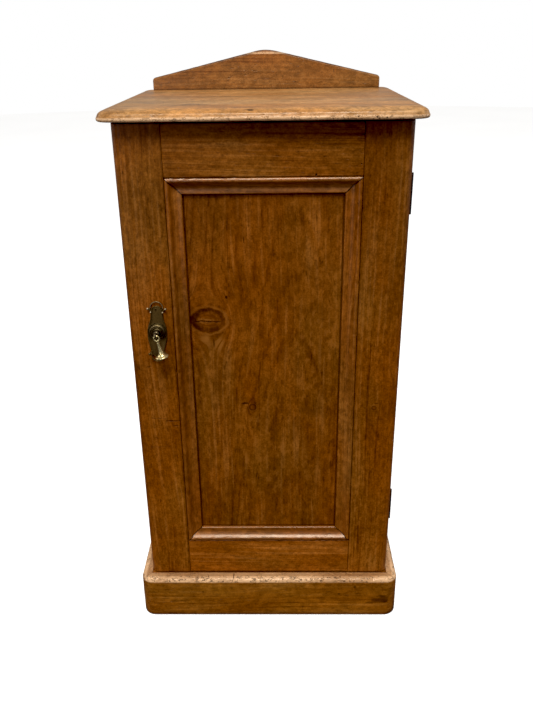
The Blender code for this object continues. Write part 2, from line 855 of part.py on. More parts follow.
def on_plate(points):
    """Points about the spindle, turned with the plate and carried to its place on the door."""
    turn, lean = math.cos(PLATE_TILT), math.sin(PLATE_TILT)
    return [(LATCH_X + x * turn + z * lean, LATCH_Z + z * turn - x * lean) for x, z in points]


def plate_window(up):
    """The crescent-shaped opening inside the loop at either end of the plate. up is +1 or -1."""
    loop = arc((0, 0.0364), 0.0074, 0, 180, 12)
    brow = arc((0, 0.0288), 0.0102, 137, 43, 8)
    outline = on_plate([(x, up * z) for x, z in loop + brow])
    return facing_slab(outline, (-PLATE_THICKNESS - 0.002, 0.002))


def make_handle_plate(pivot):
    """The cast backplate: a loop and four lobes at each end, and a belly behind the rosette."""
    half = [
        (0.0000, 0.0460),
        (0.0052, 0.0445),
        (0.0087, 0.0400),
        (0.0098, 0.0372),
        (0.0134, 0.0362),
        (0.0124, 0.0336),
        (0.0096, 0.0318),
        (0.0092, 0.0288),
        (0.0083, 0.0262),
        (0.0098, 0.0195),
        (0.0124, 0.0090),
        (0.0140, -0.0020),
        (0.0137, -0.0140),
        (0.0120, -0.0240),
        (0.0098, -0.0280),
        (0.0102, -0.0312),
        (0.0136, -0.0338),
        (0.0134, -0.0366),
        (0.0100, -0.0374),
        (0.0087, -0.0402),
        (0.0052, -0.0447),
        (0.0000, -0.0462),
    ]
    left = [(-x, z) for x, z in half[-2:0:-1]]
    plate = facing_slab(on_plate(half + left), (-PLATE_THICKNESS - GAP, -GAP), smooth=True)
    cut(plate, plate_window(1), plate_window(-1))
    middle = back(-PLATE_THICKNESS / 2)
    cut(plate, cylinder(SPINDLE_RADIUS + 0.0004, 0.01, (LATCH_X, middle, LATCH_Z), "Y", 24))
    for i, z in enumerate(handle_pin_heights()):
        cut(plate, cylinder(0.0008 + GAP, 0.01, (LATCH_X, middle, z), "Y", 12))
        head_rest = PLATE_THICKNESS + 2 * GAP
        pin = turned(
            [
                (0, 0.0010),
                (0.0009, 0.0008),
                (0.0016, 0),
                (0.0008, 0),
                (0.0008, -0.008),
                (0, -0.0095),
            ],
            12,
        )
        pin.location = (LATCH_X, back(-head_rest), z)
        pin.rotation_euler = (math.pi / 2, 0, 0)
        as_part(pin, ("handle_pin_top", "handle_pin_bottom")[i], BRASS, pivot)
    as_part(plate, "handle_backplate", BRASS, pivot)


def make_rosette(pivot):
    """The stepped round boss that the spindle comes out of."""
    inner = SPINDLE_RADIUS + 0.0004
    profile = [
        (inner, 0.0030),
        (0.0058, 0.0030),
        (0.0068, 0.0020),
        (0.0080, 0.0020),
        (0.0092, 0.0024),
        (0.0105, 0.0018),
        (0.0120, 0.0004),
        (0.0120, 0.0000),
        (inner, 0.0000),
    ]
    rosette = turned(profile, 24, closed=True)
    rosette.location = (LATCH_X, back(-PLATE_THICKNESS - 2 * GAP), LATCH_Z)
    rosette.rotation_euler = (math.pi / 2, 0, 0)
    as_part(rosette, "handle_rosette", BRASS, pivot)


def leaning(depth, along=0.0):
    """The frame of a latch piece: at a depth, this far down the pendant's lean, turned with the lean."""
    origin = Matrix.Translation((LATCH_X, back(depth), LATCH_Z))
    return origin @ Matrix.Rotation(LATCH_LEAN, 4, "Y") @ Matrix.Translation((0, 0, -along))


def make_spindle(pivot):
    """The spindle: an eye for the pendant, a collar, a round shaft, a square for the tongue, a thread."""
    square_start = TONGUE_DEPTH - GAP
    square_end = TONGUE_DEPTH + TONGUE_THICKNESS - GAP
    tail_end = 0.0375
    neck_start, collar = -0.0140, -0.0068
    profile = [
        (0, -neck_start),
        (0.0021, -neck_start),
        (0.0023, 0.0095),
        (0.0042, -collar + 0.0008),
        (0.0046, -collar),
        (0.0042, 0.0056),
        (SPINDLE_RADIUS, 0.0054),
        (SPINDLE_RADIUS, -square_start),
        (0.0018, -square_start),
        (0.0018, -tail_end),
        (0, -tail_end),
    ]
    spindle = turned(profile, 24)
    spindle.matrix_world = leaning(0) @ Matrix.Rotation(math.pi / 2, 4, "X")

    eye = cylinder(0.0040, 0.0026, (0, 0, 0), segments=20)
    eye.matrix_world = leaning(SWING_DEPTH) @ Matrix.Rotation(math.pi / 2, 4, "Y")
    eye_hole = cylinder(0.0019, 0.01, (0, 0, 0), segments=20)
    eye_hole.matrix_world = leaning(SWING_DEPTH) @ Matrix.Rotation(math.pi / 2, 4, "Y")
    half = SQUARE_SHANK / 2
    square = box((-half, half), (square_start - 0.001, square_end), (-half, half))
    square.data.transform(Matrix.Translation(square.location))
    square.matrix_world = leaning(0)
    join(spindle, eye, square)
    cut(spindle, eye_hole)
    return as_part(spindle, "latch_spindle", BRASS, pivot)


def make_tongue(pivot):
    """The flat tongue on the spindle's square, and the nut that holds it."""
    half, end = TONGUE_WIDTH / 2, TONGUE_LENGTH
    outline = [
        *arc((0, 0), half, 0, 180, 8),
        *arc((0, -end + half), half, 180, 360, 8),
    ]
    tongue = slab(outline, TONGUE_THICKNESS)
    middle = TONGUE_DEPTH + TONGUE_THICKNESS / 2
    tongue.matrix_world = leaning(middle) @ Matrix.Rotation(math.pi / 2, 4, "X")
    hole_half = SQUARE_SHANK / 2 + GAP / 2
    hole = box((-hole_half, hole_half), (-0.01, 0.01), (-hole_half, hole_half))
    hole.matrix_world = leaning(middle)
    cut(tongue, hole)
    as_part(tongue, "latch_tongue", IRON, pivot)

    nut_thickness = 0.003
    nut_middle = TONGUE_DEPTH + TONGUE_THICKNESS + GAP + nut_thickness / 2
    nut = cylinder(0.0040, nut_thickness, (0, 0, 0), segments=6)
    nut.matrix_world = leaning(nut_middle) @ Matrix.Rotation(math.pi / 2, 4, "X")
    thread = cylinder(0.0018 + 0.0001, 0.01, (0, 0, 0), segments=24)
    thread.matrix_world = leaning(nut_middle) @ Matrix.Rotation(math.pi / 2, 4, "X")
    cut(nut, thread)
    as_part(nut, "latch_nut", BRASS, pivot)


def make_pendant(pivot):
    """The drop: a ring through the spindle's eye, a stem that flares, and a round foot."""
    ring_bottom = 2 * RING_RADIUS
    foot_top = PENDANT_LENGTH - 0.0030
    profile = [
        (0, -ring_bottom + 0.0004),
        (0.0016, -ring_bottom - 0.0002),
        (0.0019, -0.0095),
        (0.0014, -0.0120),
        (0.0020, -0.0190),
        (0.0034, -foot_top + 0.0006),
        (0.0078, -foot_top),
        (FOOT_RADIUS, -foot_top - 0.0010),
        (0.0084, -foot_top - 0.0022),
        (0.0040, -PENDANT_LENGTH - 0.0002),
        (0, -PENDANT_LENGTH - 0.0004),
    ]
    pendant = turned(profile, 24)
    pendant.matrix_world = leaning(SWING_DEPTH)
    bpy.ops.mesh.primitive_torus_add(
        major_radius=RING_RADIUS, minor_radius=RING_WIRE, major_segments=24, minor_segments=8
    )
    ring = bpy.context.object
    ring.matrix_world = leaning(SWING_DEPTH, RING_RADIUS) @ Matrix.Rotation(math.pi / 2, 4, "X")
    join(pendant, ring)
    as_part(pendant, "pendant_drop", BRASS, pivot)


# ---------------------------------------------------------------- the whole cupboard


def smooth_round_shapes():
    for obj in PARTS.objects:
        if obj.type == "MESH":
            obj.data.shade_smooth()
            obj.data.set_sharp_from_angle(angle=math.radians(35))


def main():
    door_pivot = new_pivot("door_hinge_axis", (HINGE_X, back(HINGE_DEPTH), DOOR_BOTTOM))
    latch_pivot = new_pivot("latch_axis", (LATCH_X, back(0), LATCH_Z), door_pivot)
    swing_pivot = new_pivot("pendant_axis", (LATCH_X, back(SWING_DEPTH), LATCH_Z), latch_pivot)
    make_case()
    make_back_boards()
    make_top_board()
    make_gallery()
    make_plinth()
    make_door(door_pivot)
    make_hinges(door_pivot)
    make_handle_plate(door_pivot)
    make_rosette(door_pivot)
    make_spindle(latch_pivot)
    make_tongue(latch_pivot)
    make_pendant(swing_pivot)
    smooth_round_shapes()


main()
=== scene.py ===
"""The looks of the pine pot cupboard: waxed and bare pine, aged brass and black iron over the frame."""

import math
import random
from functools import partial, partialmethod

import bmesh
import bpy
from mathutils import Matrix, Vector, noise


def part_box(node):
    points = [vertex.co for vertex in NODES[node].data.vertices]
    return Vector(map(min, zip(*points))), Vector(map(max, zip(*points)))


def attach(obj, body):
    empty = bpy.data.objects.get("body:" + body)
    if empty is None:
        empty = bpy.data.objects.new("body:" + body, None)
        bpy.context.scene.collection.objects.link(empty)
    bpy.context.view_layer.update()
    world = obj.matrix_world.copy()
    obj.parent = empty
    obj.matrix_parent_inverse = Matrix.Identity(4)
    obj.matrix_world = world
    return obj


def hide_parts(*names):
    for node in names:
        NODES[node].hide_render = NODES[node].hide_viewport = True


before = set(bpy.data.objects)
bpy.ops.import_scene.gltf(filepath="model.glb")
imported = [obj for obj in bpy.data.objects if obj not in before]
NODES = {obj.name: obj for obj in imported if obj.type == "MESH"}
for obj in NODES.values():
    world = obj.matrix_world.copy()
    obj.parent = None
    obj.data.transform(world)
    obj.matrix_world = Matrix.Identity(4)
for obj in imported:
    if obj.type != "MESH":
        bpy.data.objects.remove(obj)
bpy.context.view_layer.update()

noise.seed_set(7)       # without it the offsets of noise_vector change from run to run

# ---- sizes shared with the CAD, in metres
FACE_Y = -0.153
GAP = 0.0003
MITRE_GAP = 0.00025
HALF_WIDTH = 0.1925
CASE_DEPTH = 0.332
TOP_SURFACE, TOP_THICKNESS, TOP_HALF, TOP_FRONT, TOP_CORNER = 0.8025, 0.015, 0.209, 0.016, 0.022
GALLERY_HALF, GALLERY_SHOULDER, GALLERY_PEAK, GALLERY_FACE = 0.185, 0.019, 0.0587, 0.318
PLINTH_HEIGHT, PLINTH_THICKNESS, PLINTH_RADIUS = 0.075, 0.017, 0.020
OPENING_HALF, OPENING_BOTTOM, OPENING_TOP = 0.129, 0.1405, 0.717
PANEL_RECESS, MOULDING_WIDTH = 0.009, 0.0224
PLATE_THICKNESS, PLATE_TILT = 0.0018, math.radians(2.4)
LATCH_X, LATCH_Z, SWING_DEPTH = -0.152, 0.5045, -0.0167
LEAN = math.radians(-12.5)      # how far the drop hangs off plumb, seen from the front
WHITE = (1.0, 1.0, 1.0, 1.0)


def back(depth):
    """The Y that lies this far behind the door's face."""
    return FACE_Y + depth


# ---- shader node helpers

MIX_COLOURS, MIX_RESULT = slice(6, 8), 2      # the colour sockets of a Mix node
SCALE_BY = 3                                  # the factor's socket of a vector Scale


class Nodes:
    """A node tree under construction, with short calls for the nodes it is made of."""

    def __init__(self, tree, coordinates):
        self.tree = tree
        self.place = self.node("ShaderNodeTexCoord").outputs[coordinates]
        split = self.node("ShaderNodeSeparateXYZ")
        self.link(self.place, split.inputs[0])
        self.x, self.y, self.z = split.outputs

    def node(self, kind, **settings):
        made = self.tree.nodes.new(kind)
        for key, value in settings.items():
            setattr(made, key, value)
        return made

    def link(self, source, socket):
        """Joins a socket to an input, or sets the input to a plain value."""
        if hasattr(source, "is_output"):
            self.tree.links.new(source, socket)
        else:
            socket.default_value = source

    def math(self, operation, *values):
        made = self.node("ShaderNodeMath", operation=operation)
        for value, socket in zip(values, made.inputs):
            self.link(value, socket)
        return made.outputs[0]

    add = partialmethod(math, "ADD")
    sub = partialmethod(math, "SUBTRACT")
    mul = partialmethod(math, "MULTIPLY")

    def gap(self, a, b):
        return self.math("ABSOLUTE", self.sub(a, b))

    def sway(self, value, size):
        """Noise brought round to zero and scaled."""
        return self.mul(self.sub(value, 0.5), size)

    def clamp(self, value):
        made = self.node("ShaderNodeClamp")
        self.link(value, made.inputs[0])
        return made.outputs[0]

    def step(self, value, low, high, to_low=0.0, to_high=1.0):
        """A smooth step of value from low to high."""
        made = self.node("ShaderNodeMapRange", interpolation_type="SMOOTHSTEP")
        self.link(value, made.inputs[0])
        for socket, setting in zip(made.inputs[1:5], (low, high, to_low, to_high)):
            self.link(setting, socket)
        return made.outputs[0]

    def vector(self, x, y, z):
        made = self.node("ShaderNodeCombineXYZ")
        for value, socket in zip((x, y, z), made.inputs):
            self.link(value, socket)
        return made.outputs[0]

    def noise(self, vector, scale=1.0, detail=2.0, roughness=0.5):
        made = self.node("ShaderNodeTexNoise")
        self.link(vector, made.inputs["Vector"])
        for key, value in (("Scale", scale), ("Detail", detail), ("Roughness", roughness)):
            made.inputs[key].default_value = value
        return made.outputs["Fac"]

    def ramp(self, value, stops, interpolation="EASE"):
        """A colour by value, from stops of (position, colour)."""
        made = self.node("ShaderNodeValToRGB")
        made.color_ramp.interpolation = interpolation
        elements = made.color_ramp.elements
        while len(elements) < len(stops):
            elements.new(0.5)
        for element, (position, colour) in zip(elements, stops):
            element.position = position
            element.color = (*colour, 1.0)
        self.link(value, made.inputs[0])
        return made.outputs[0]

    def mix(self, amount, a, b, blend="MIX"):
        made = self.node("ShaderNodeMix", data_type="RGBA", blend_type=blend)
        self.link(amount, made.inputs[0])
        for colour, socket in zip((a, b), made.inputs[MIX_COLOURS]):
            self.link((*colour, 1.0) if isinstance(colour, tuple) else colour, socket)
        return made.outputs[MIX_RESULT]

    def vector_math(self, operation, *values):
        made = self.node("ShaderNodeVectorMath", operation=operation)
        for value, socket in zip(values, made.inputs):
            self.link(value, socket)
        return made.outputs

    def away(self, place, half_sizes):
        """How far a point is from a place, where 1 is the surface of a spot with the given half sizes."""
        offset = self.vector_math("SUBTRACT", self.place, place)[0]
        return self.vector_math("LENGTH", self.vector_math("DIVIDE", offset, half_sizes)[0])["Value"]

    def shade(self, colour, value):
        """A colour multiplied by a value."""
        made = self.node("ShaderNodeVectorMath", operation="SCALE")
        self.link(colour, made.inputs[0])
        self.link(value, made.inputs[SCALE_BY])
        return made.outputs[0]


class Shader(Nodes):
    """A material's tree, in object coordinates."""

    def __init__(self, name):
        self.material = bpy.data.materials.new(name)
        self.material.use_nodes = True
        super().__init__(self.material.node_tree, "Object")
        self.bsdf = self.tree.nodes["Principled BSDF"]

    def finish(self, colour, roughness, height, distance, **fixed):
        """Joins up the surface: height is bumped by distance metres, fixed names inputs with plain values."""
        self.link(colour, self.bsdf.inputs["Base Color"])
        self.link(roughness, self.bsdf.inputs["Roughness"])
        bump = self.node("ShaderNodeBump")
        bump.inputs["Distance"].default_value = distance
        self.link(height, bump.inputs["Height"])
        self.link(bump.outputs[0], self.bsdf.inputs["Normal"])
        for key, value in fixed.items():
            self.bsdf.inputs[key.replace("_", " ")].default_value = value
        return self.material


# ---- pine

# Each tone is its latewood, middle and earlywood colour.
TONES = {
    "door": ((0.099, 0.029, 0.0030), (0.191, 0.062, 0.0062), (0.294, 0.109, 0.0190)),
    "top": ((0.265, 0.100, 0.0200), (0.425, 0.200, 0.0580), (0.540, 0.300, 0.1200)),
    "gallery": ((0.160, 0.053, 0.0080), (0.270, 0.104, 0.0190), (0.340, 0.152, 0.0400)),
    "plinth": ((0.135, 0.042, 0.0030), (0.255, 0.090, 0.0070), (0.350, 0.140, 0.0200)),
    "bare": ((0.300, 0.150, 0.0550), (0.450, 0.270, 0.1150), (0.560, 0.370, 0.1850)),
}
KNOT_DARK = (0.036, 0.010, 0.002)
KNOT_MID = (0.125, 0.036, 0.003)
DIRT_AND_SHADE = (0.014, 0.005, 0.001)
PALE_WEAR_AND_HIGHLIGHT = (0.760, 0.460, 0.240)
WAX_TINT = (1.0, 0.79, 0.60, 1.0)
ACROSS, DEPTH, ALONG = range(3)     # the coordinate of a grain noise that carries the board's shift
SMALL_KNOT = 0.008      # a knot below this radius has no crack


def knot_flow(s, across, along, knot):
    """How far a knot pushes the grain aside, how far out from it each point lies, and the point's offsets."""
    centre, height, radius, squash, seed = knot
    dx, dz = s.sub(across, centre), s.sub(along, height)
    dz2 = s.mul(s.mul(dz, dz), squash * squash)
    bend = s.math("MAXIMUM", s.add(s.mul(dx, dx), s.mul(dz2, 0.30)), radius * radius * 0.8)
    push = s.mul(dx, s.math("DIVIDE", radius * radius * 0.95, bend))
    wobble = s.noise(s.vector(s.mul(across, 95), s.mul(along, 95), seed), detail=4, roughness=0.62)
    out = s.math("DIVIDE", s.math("SQRT", s.add(s.mul(dx, dx), dz2)), radius)
    return push, s.add(out, s.sway(wobble, 0.36)), dx, s.add(dz, s.sway(wobble, 0.009))


def draw_knot(s, colour, height, knot, light, patina):
    """Paints one knot: brown rings, a dark rim heavier on one side, a pale halo and a drying crack."""
    out, dx, dz, radius = knot
    fine = s.noise(s.vector(s.mul(out, 10.0), radius * 90, s.mul(dx, 40)), detail=3, roughness=0.6)
    core = s.mix(s.step(fine, 0.40, 0.58), KNOT_MID, s.shade(colour, 0.95))
    lopsided = s.step(s.sub(s.mul(dx, 1.5), dz), radius * 1.2, -radius * 1.2, 0.66, 1.0)
    rim = s.mul(s.step(out, 0.34, 0.78), lopsided)
    core = s.mix(s.mul(rim, s.step(patina, 0.36, 0.62, 1.0, 0.62)), core, KNOT_DARK)
    beyond = s.mul(s.step(out, 0.96, 1.06), s.step(out, 1.08, 1.20, 1.0, 0.0))
    ring = s.mul(s.step(out, 1.16, 1.24), s.step(out, 1.26, 1.36, 1.0, 0.0))
    colour = s.mix(s.mul(s.step(out, 1.15, 2.2, 1.0, 0.0), 0.22), colour, s.shade(colour, 0.66))
    colour = s.mix(s.mul(ring, s.step(patina, 0.40, 0.60, 0.34, 0.06)), colour, KNOT_DARK)
    colour = s.mix(s.mul(beyond, s.step(lopsided, 0.50, 0.85, 0.62, 0.24)), colour, light)
    colour = s.mix(s.step(out, 0.90, 1.05, 0.95, 0.0), colour, core)
    if radius < SMALL_KNOT:
        return colour, height
    # The crack runs level below the middle, with pale wisps of wax above and below it.
    dz = s.add(dz, 0.0016)
    within = s.mul(s.step(out, 0.55, 0.86, 1.0, 0.0), s.step(patina, 0.36, 0.50, 0.35, 1.0))
    middle = s.mul(s.step(out, 0.30, 0.66, 1.0, 0.0), s.step(patina, 0.38, 0.56, 0.30, 1.0))
    above = s.step(s.gap(dz, 0.0027), 0.0006, 0.0028, 0.70, 0.0)
    below = s.step(s.math("ABSOLUTE", s.add(dz, 0.0024)), 0.0003, 0.0018, 0.48, 0.0)
    colour = s.mix(s.mul(s.math("MAXIMUM", above, below), middle), colour, light)
    crack = s.mul(s.step(s.math("ABSOLUTE", dz), 0.0003, 0.0014, 0.85, 0.0), within)
    return s.mix(crack, colour, DIRT_AND_SHADE), s.sub(height, s.mul(crack, 1.5))


def pine(
    name, axes, seed, tone="door", pith=(0.0, 0.06), pitch=0.0034, lean=0.010, rings=0.5, streaks=0.60,
    knots=(), marks=(), joint=None, edges=None, grime=0.60, shades=(), wear_and_highlight=None, corner=None, mitred=False,
    gloss=1.0, rough=(0.34, 0.46), relief=0.00022, pitched=None,
):
    """Pine with its grain along the first of the axes, its face across the second, its thickness on the third.

    pith is where the tree's centre lies, across and in depth; pitch the width of a year's ring; lean how far
    the rings run out along the board; rings and streaks how strongly each shows. A knot is (across, along,
    radius, squash). A mark is a dent or stain: (x, y, z), (half sizes), strength; below zero it is a pale patch.
    joint is where two planks meet. edges is the board's box, grime how dark it is there. A shade is (axis, from,
    to, factor), a step of brightness along one axis; most shades are painted light or painted shade.
    wear_and_highlight is (how cracked, (axis, from, to, least), ...) for a pale band of painted highlight, on some
    boards also worn wax. corner is how far in from the door's opening a line of dirt and painted shade lies;
    mitred draws the joints at the opening's corners. gloss, rough and relief are for the wax. pitched is the peak
    and the slope of a pitched edge, with painted shade along its arris."""
    s = Shader(name)
    by_name = {"X": s.x, "Y": s.y, "Z": s.z}
    along, across, depth = (by_name[a] for a in axes)
    waxed = tone != "bare"
    dark, middle, light = TONES[tone]
    shift = seed * 1.37
    if joint is not None:
        plank = s.math("GREATER_THAN", across, joint)
        shift = s.add(s.mul(plank, 5.3), shift)

    def grain(value, scale, along_scale, shifted, detail=2.0, roughness=0.5):
        """Noise drawn out along the grain. The board's own shift goes on one of its three coordinates."""
        place = [s.mul(value, scale), s.mul(depth, scale), s.mul(along, along_scale)]
        place[shifted] = s.add(place[shifted], shift)
        return s.noise(s.vector(*place), detail=detail, roughness=roughness)

    # The grain flows round each knot as water flows round a stone.
    flow = across
    seen_knots = []
    for centre, height_at, radius, squash in knots:
        push, out, dx, dz = knot_flow(s, across, along, (centre, height_at, radius, squash, seed))
        flow = s.sub(flow, push)
        seen_knots.append((out, dx, dz, radius))

    wander = grain(flow, 7, 1.5, ACROSS, detail=1.5)
    ripple = grain(flow, 34, 8, DEPTH)
    a = s.add(s.add(flow, s.sway(wander, 0.050)), s.sway(ripple, 0.0040))
    if joint is not None:
        a = s.add(a, s.mul(plank, 0.047))
    from_pith = s.sub(a, pith[0])
    in_depth = s.sub(depth, pith[1])
    radius = s.math("SQRT", s.add(s.mul(from_pith, from_pith), s.mul(in_depth, in_depth)))
    turn = s.math("DIVIDE", s.add(radius, s.mul(along, lean)), pitch)
    turn = s.add(turn, s.mul(s.noise(s.vector(shift, s.mul(turn, 0.35), 0.0), detail=1), 3.0))
    year = s.math("FRACT", turn)
    late = s.ramp(year, [(0.0, (0.1,) * 3), (0.48, (0.14,) * 3), (0.84, (1.0,) * 3), (1.0, (0.1,) * 3)])
    late = s.mul(late, s.step(grain(a, 14, 3.5, DEPTH, detail=3), 0.36, 0.66, 0.10, 1.0))

    streak = grain(a, 260, 9, DEPTH, detail=3, roughness=0.6)
    broad = grain(a, 62, 3.2, ALONG)
    canals = s.step(grain(a, 620, 70, ALONG, detail=1), 0.64, 0.76)
    pores = grain(a, 330, 85, ALONG)
    blotch = grain(across, 22, 11, DEPTH, detail=4, roughness=0.62)
    patina = grain(across, 150, 95, ACROSS, detail=3, roughness=0.6)
    hue = grain(across, 13, 6, DEPTH, detail=3)
    speckle = s.noise(s.place, scale=430, detail=3, roughness=0.7)

    level = s.add(0.50, s.sway(streak, streaks))
    level = s.add(level, s.sway(broad, 0.62))
    level = s.sub(level, s.mul(s.sub(late, 0.25), rings))
    colour = s.ramp(level, [(0.14, dark), (0.50, middle), (0.86, light)])
    warm_to_olive = s.ramp(hue, [(0.30, (1.05, 0.94, 0.80)), (0.70, (0.97, 1.04, 1.15))])
    colour = s.mix(1.0, colour, warm_to_olive, "MULTIPLY")
    colour = s.shade(colour, s.step(blotch, 0.28, 0.72, 0.80, 1.18))
    colour = s.shade(colour, s.step(patina, 0.30, 0.70, 0.78, 1.22))
    colour = s.shade(colour, s.step(speckle, 0.30, 0.70, 0.80, 1.20))
    colour = s.mix(s.mul(canals, 0.50), colour, s.shade(colour, 0.36))
    colour = s.mix(s.step(pores, 0.61, 0.70, 0.0, 0.50), colour, s.shade(colour, 0.40))
    pale = s.mul(s.step(patina, 0.56, 0.66), s.step(hue, 0.46, 0.58))
    colour = s.mix(s.mul(pale, 0.34), colour, light)

    height = s.add(s.mul(late, 0.22), s.add(s.mul(streak, 0.35), s.mul(canals, -0.7)))
    height = s.add(height, s.mul(patina, 0.25))
    for knot in seen_knots:
        colour, height = draw_knot(s, colour, height, knot, light, patina)
    if joint is not None:
        line = s.step(s.gap(across, joint), 0.0001, 0.0006, 1.0, 0.0)
        colour = s.mix(s.mul(line, 0.75), colour, DIRT_AND_SHADE)
        height = s.sub(height, s.mul(line, 1.2))
    # A pale band of painted highlight, on the top and the plinth also worn wax, with cracks running through it.
    if wear_and_highlight is not None:
        cracked, *ends = wear_and_highlight
        zone = 1.0
        for axis, start, end, least in ends:
            zone = s.mul(zone, s.step(by_name[axis], start, end, least, 1.0))
        wear_and_highlight_mask = s.mul(zone, s.step(blotch, 0.34, 0.58, 0.50, 1.0))
        colour = s.mix(wear_and_highlight_mask, colour, PALE_WEAR_AND_HIGHLIGHT)
        veins = s.noise(s.place, scale=120, detail=3, roughness=0.65)
        veins = s.step(s.gap(veins, 0.52), 0.006, 0.030, 1.0, 0.0)
        veins = s.mul(s.mul(veins, zone), s.step(patina, 0.44, 0.54))
        colour = s.mix(s.mul(veins, cracked), colour, DIRT_AND_SHADE)
        height = s.sub(height, s.mul(veins, 2.2))
    for place, half_sizes, strength in marks:
        reach = s.add(s.away(place, half_sizes), s.sway(patina, 1.3))
        if strength < 0:
            patch = s.mul(s.step(reach, 0.20, 1.20, -strength, 0.0), s.step(streak, 0.40, 0.58))
            colour = s.mix(patch, colour, light)
            continue
        dent = s.step(reach, 0.45, 1.05, strength, 0.0)
        colour = s.mix(dent, colour, DIRT_AND_SHADE)
        height = s.sub(height, s.mul(dent, 2.0))
    if corner is not None or mitred:
        from_side, from_end = inside_opening(s)
    # A line of dirt and painted shade on the panel, where the moulding's shadow falls.
    if corner is not None:
        to_corner = s.sub(s.math("MINIMUM", from_side, from_end), corner)
        line = s.step(s.math("ABSOLUTE", to_corner), 0.0004, 0.0020, 0.66, 0.0)
        colour = s.mix(s.mul(line, s.step(patina, 0.34, 0.50, 0.70, 1.0)), colour, DIRT_AND_SHADE)
    if mitred:
        to_mitre = s.gap(from_side, from_end)
        colour = s.mix(s.step(to_mitre, 0.0004, 0.0016, 0.90, 0.0), colour, DIRT_AND_SHADE)
    if edges is not None:
        colour = edge_grime(s, colour, edges, blotch, grime if waxed else 0.35)
    # Painted shade along the rounded arris of a pitched edge.
    if pitched is not None:
        peak, slope = pitched
        below = s.sub(s.sub(peak, s.mul(s.math("ABSOLUTE", s.x), slope)), s.z)
        colour = s.shade(colour, s.step(below, 0.0010, 0.0024, 0.48, 1.0))
    for axis, start, end, factor in shades:
        colour = s.shade(colour, s.step(by_name[axis], start, end, 1.0, factor))
    if waxed:
        dull = s.add(s.step(blotch, 0.2, 0.8, *rough), s.sway(patina, 0.16))
        return s.finish(colour, dull, height, relief, Specular_IOR_Level=0.5 * gloss, Specular_Tint=WAX_TINT)
    dull = s.step(blotch, 0.2, 0.8, 0.62, 0.80)
    return s.finish(colour, dull, height, 0.0003, Specular_IOR_Level=0.3)


def inside_opening(s):
    """How far each point lies in from the sides, and from the ends, of the opening in the door's frame."""
    middle, half = (OPENING_TOP + OPENING_BOTTOM) / 2, (OPENING_TOP - OPENING_BOTTOM) / 2
    from_side = s.sub(OPENING_HALF, s.math("ABSOLUTE", s.x))
    return from_side, s.sub(half, s.gap(s.z, middle))


def edge_grime(s, colour, box, blotch, amount):
    """Darkens a board within about 3 mm of its edges, unevenly."""
    first, second, third = (
        s.math("MINIMUM", s.sub(value, low), s.sub(high, value)) for value, low, high in zip((s.x, s.y, s.z), *box)
    )
    low_pair = s.math("MINIMUM", first, second)
    high_pair = s.math("MAXIMUM", first, second)
    to_edge = s.math("MAXIMUM", low_pair, s.math("MINIMUM", high_pair, third))
    to_edge = s.sub(to_edge, s.sway(blotch, 0.004))
    near = s.step(to_edge, 0.0004, 0.0030, amount, 0.0)
    return s.mix(near, colour, s.shade(colour, 0.30))


# ---- metals


def aged_brass(name, bright, dull, dirt, raised, rough, wear, solid, lit_above=None):
    """Brass that is bright where it stands out and dark in its hollows.

    raised is the depth at which it is dull, then the depth at which it is bright. wear is how little of it is
    bright, solid how metallic the bright parts are, and below the height lit_above it is dull all over."""
    s = Shader(name)
    lift = s.step(s.y, *map(back, raised))
    if lit_above is not None:
        lift = s.mul(lift, s.step(s.z, lit_above - 0.010, lit_above, 0.18, 1.0))
    mottle = s.noise(s.place, scale=420, detail=4, roughness=0.65)
    fine = s.noise(s.place, scale=2600, detail=2)
    lift = s.clamp(s.add(lift, s.mul(s.sub(mottle, wear), 0.9)))
    colour = s.mix(lift, dull, bright)
    stain = s.step(mottle, 0.50, 0.72)
    colour = s.mix(s.mul(stain, s.sub(0.75, s.mul(lift, 0.6))), colour, dirt)
    roughness = s.add(s.step(lift, 0.0, 1.0, rough + 0.18, rough), s.sway(fine, 0.14))
    s.link(s.step(lift, 0.0, 1.0, 1.0, solid), s.bsdf.inputs["Metallic"])
    height = s.add(s.mul(mottle, 0.6), s.mul(fine, 0.4))
    return s.finish(colour, roughness, height, 0.00012)


def ironwork(name, scale, detail, stops, rough, pitted, distance, metallic):
    """Mottled iron or steel: stops are its colours, rough its step of roughness, pitted its pits' depth."""
    s = Shader(name)
    mottle = s.noise(s.place, scale=scale, detail=detail, roughness=0.7)
    height = s.add(mottle, s.mul(s.noise(s.place, scale=1500, detail=2), pitted))
    roughness = s.step(mottle, *rough)
    return s.finish(s.ramp(mottle, stops), roughness, height, distance, Metallic=metallic)


# ---- mesh helpers


def new_object(name, form):
    """Puts a bmesh into the scene as an object."""
    mesh = bpy.data.meshes.new(name)
    form.to_mesh(mesh)
    form.free()
    obj = bpy.data.objects.new(name, mesh)
    bpy.context.scene.collection.objects.link(obj)
    return obj


def new_piece(name, body, material, *replaced, build, smooth=50):
    """A piece made by build(bmesh), riding on a body, standing for the CAD nodes named."""
    form = bmesh.new()
    build(form)
    bmesh.ops.recalc_face_normals(form, faces=form.faces)
    obj = new_object(name, form)
    mesh = obj.data
    mesh.materials.append(material)
    mesh.shade_smooth()
    mesh.set_sharp_from_angle(angle=math.radians(smooth))
    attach(obj, body)
    if replaced:
        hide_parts(*replaced)
    return obj


def around(steps):
    """The cosine and sine of each of so many equal turns."""
    return [(math.cos(2 * math.pi * i / steps), math.sin(2 * math.pi * i / steps)) for i in range(steps)]


def rounded(radius, degrees):
    """How far each angle of a quarter round lies in from its two tangents."""
    return [(radius * (1 - math.sin(t)), radius * (1 - math.cos(t))) for t in map(math.radians, degrees)]


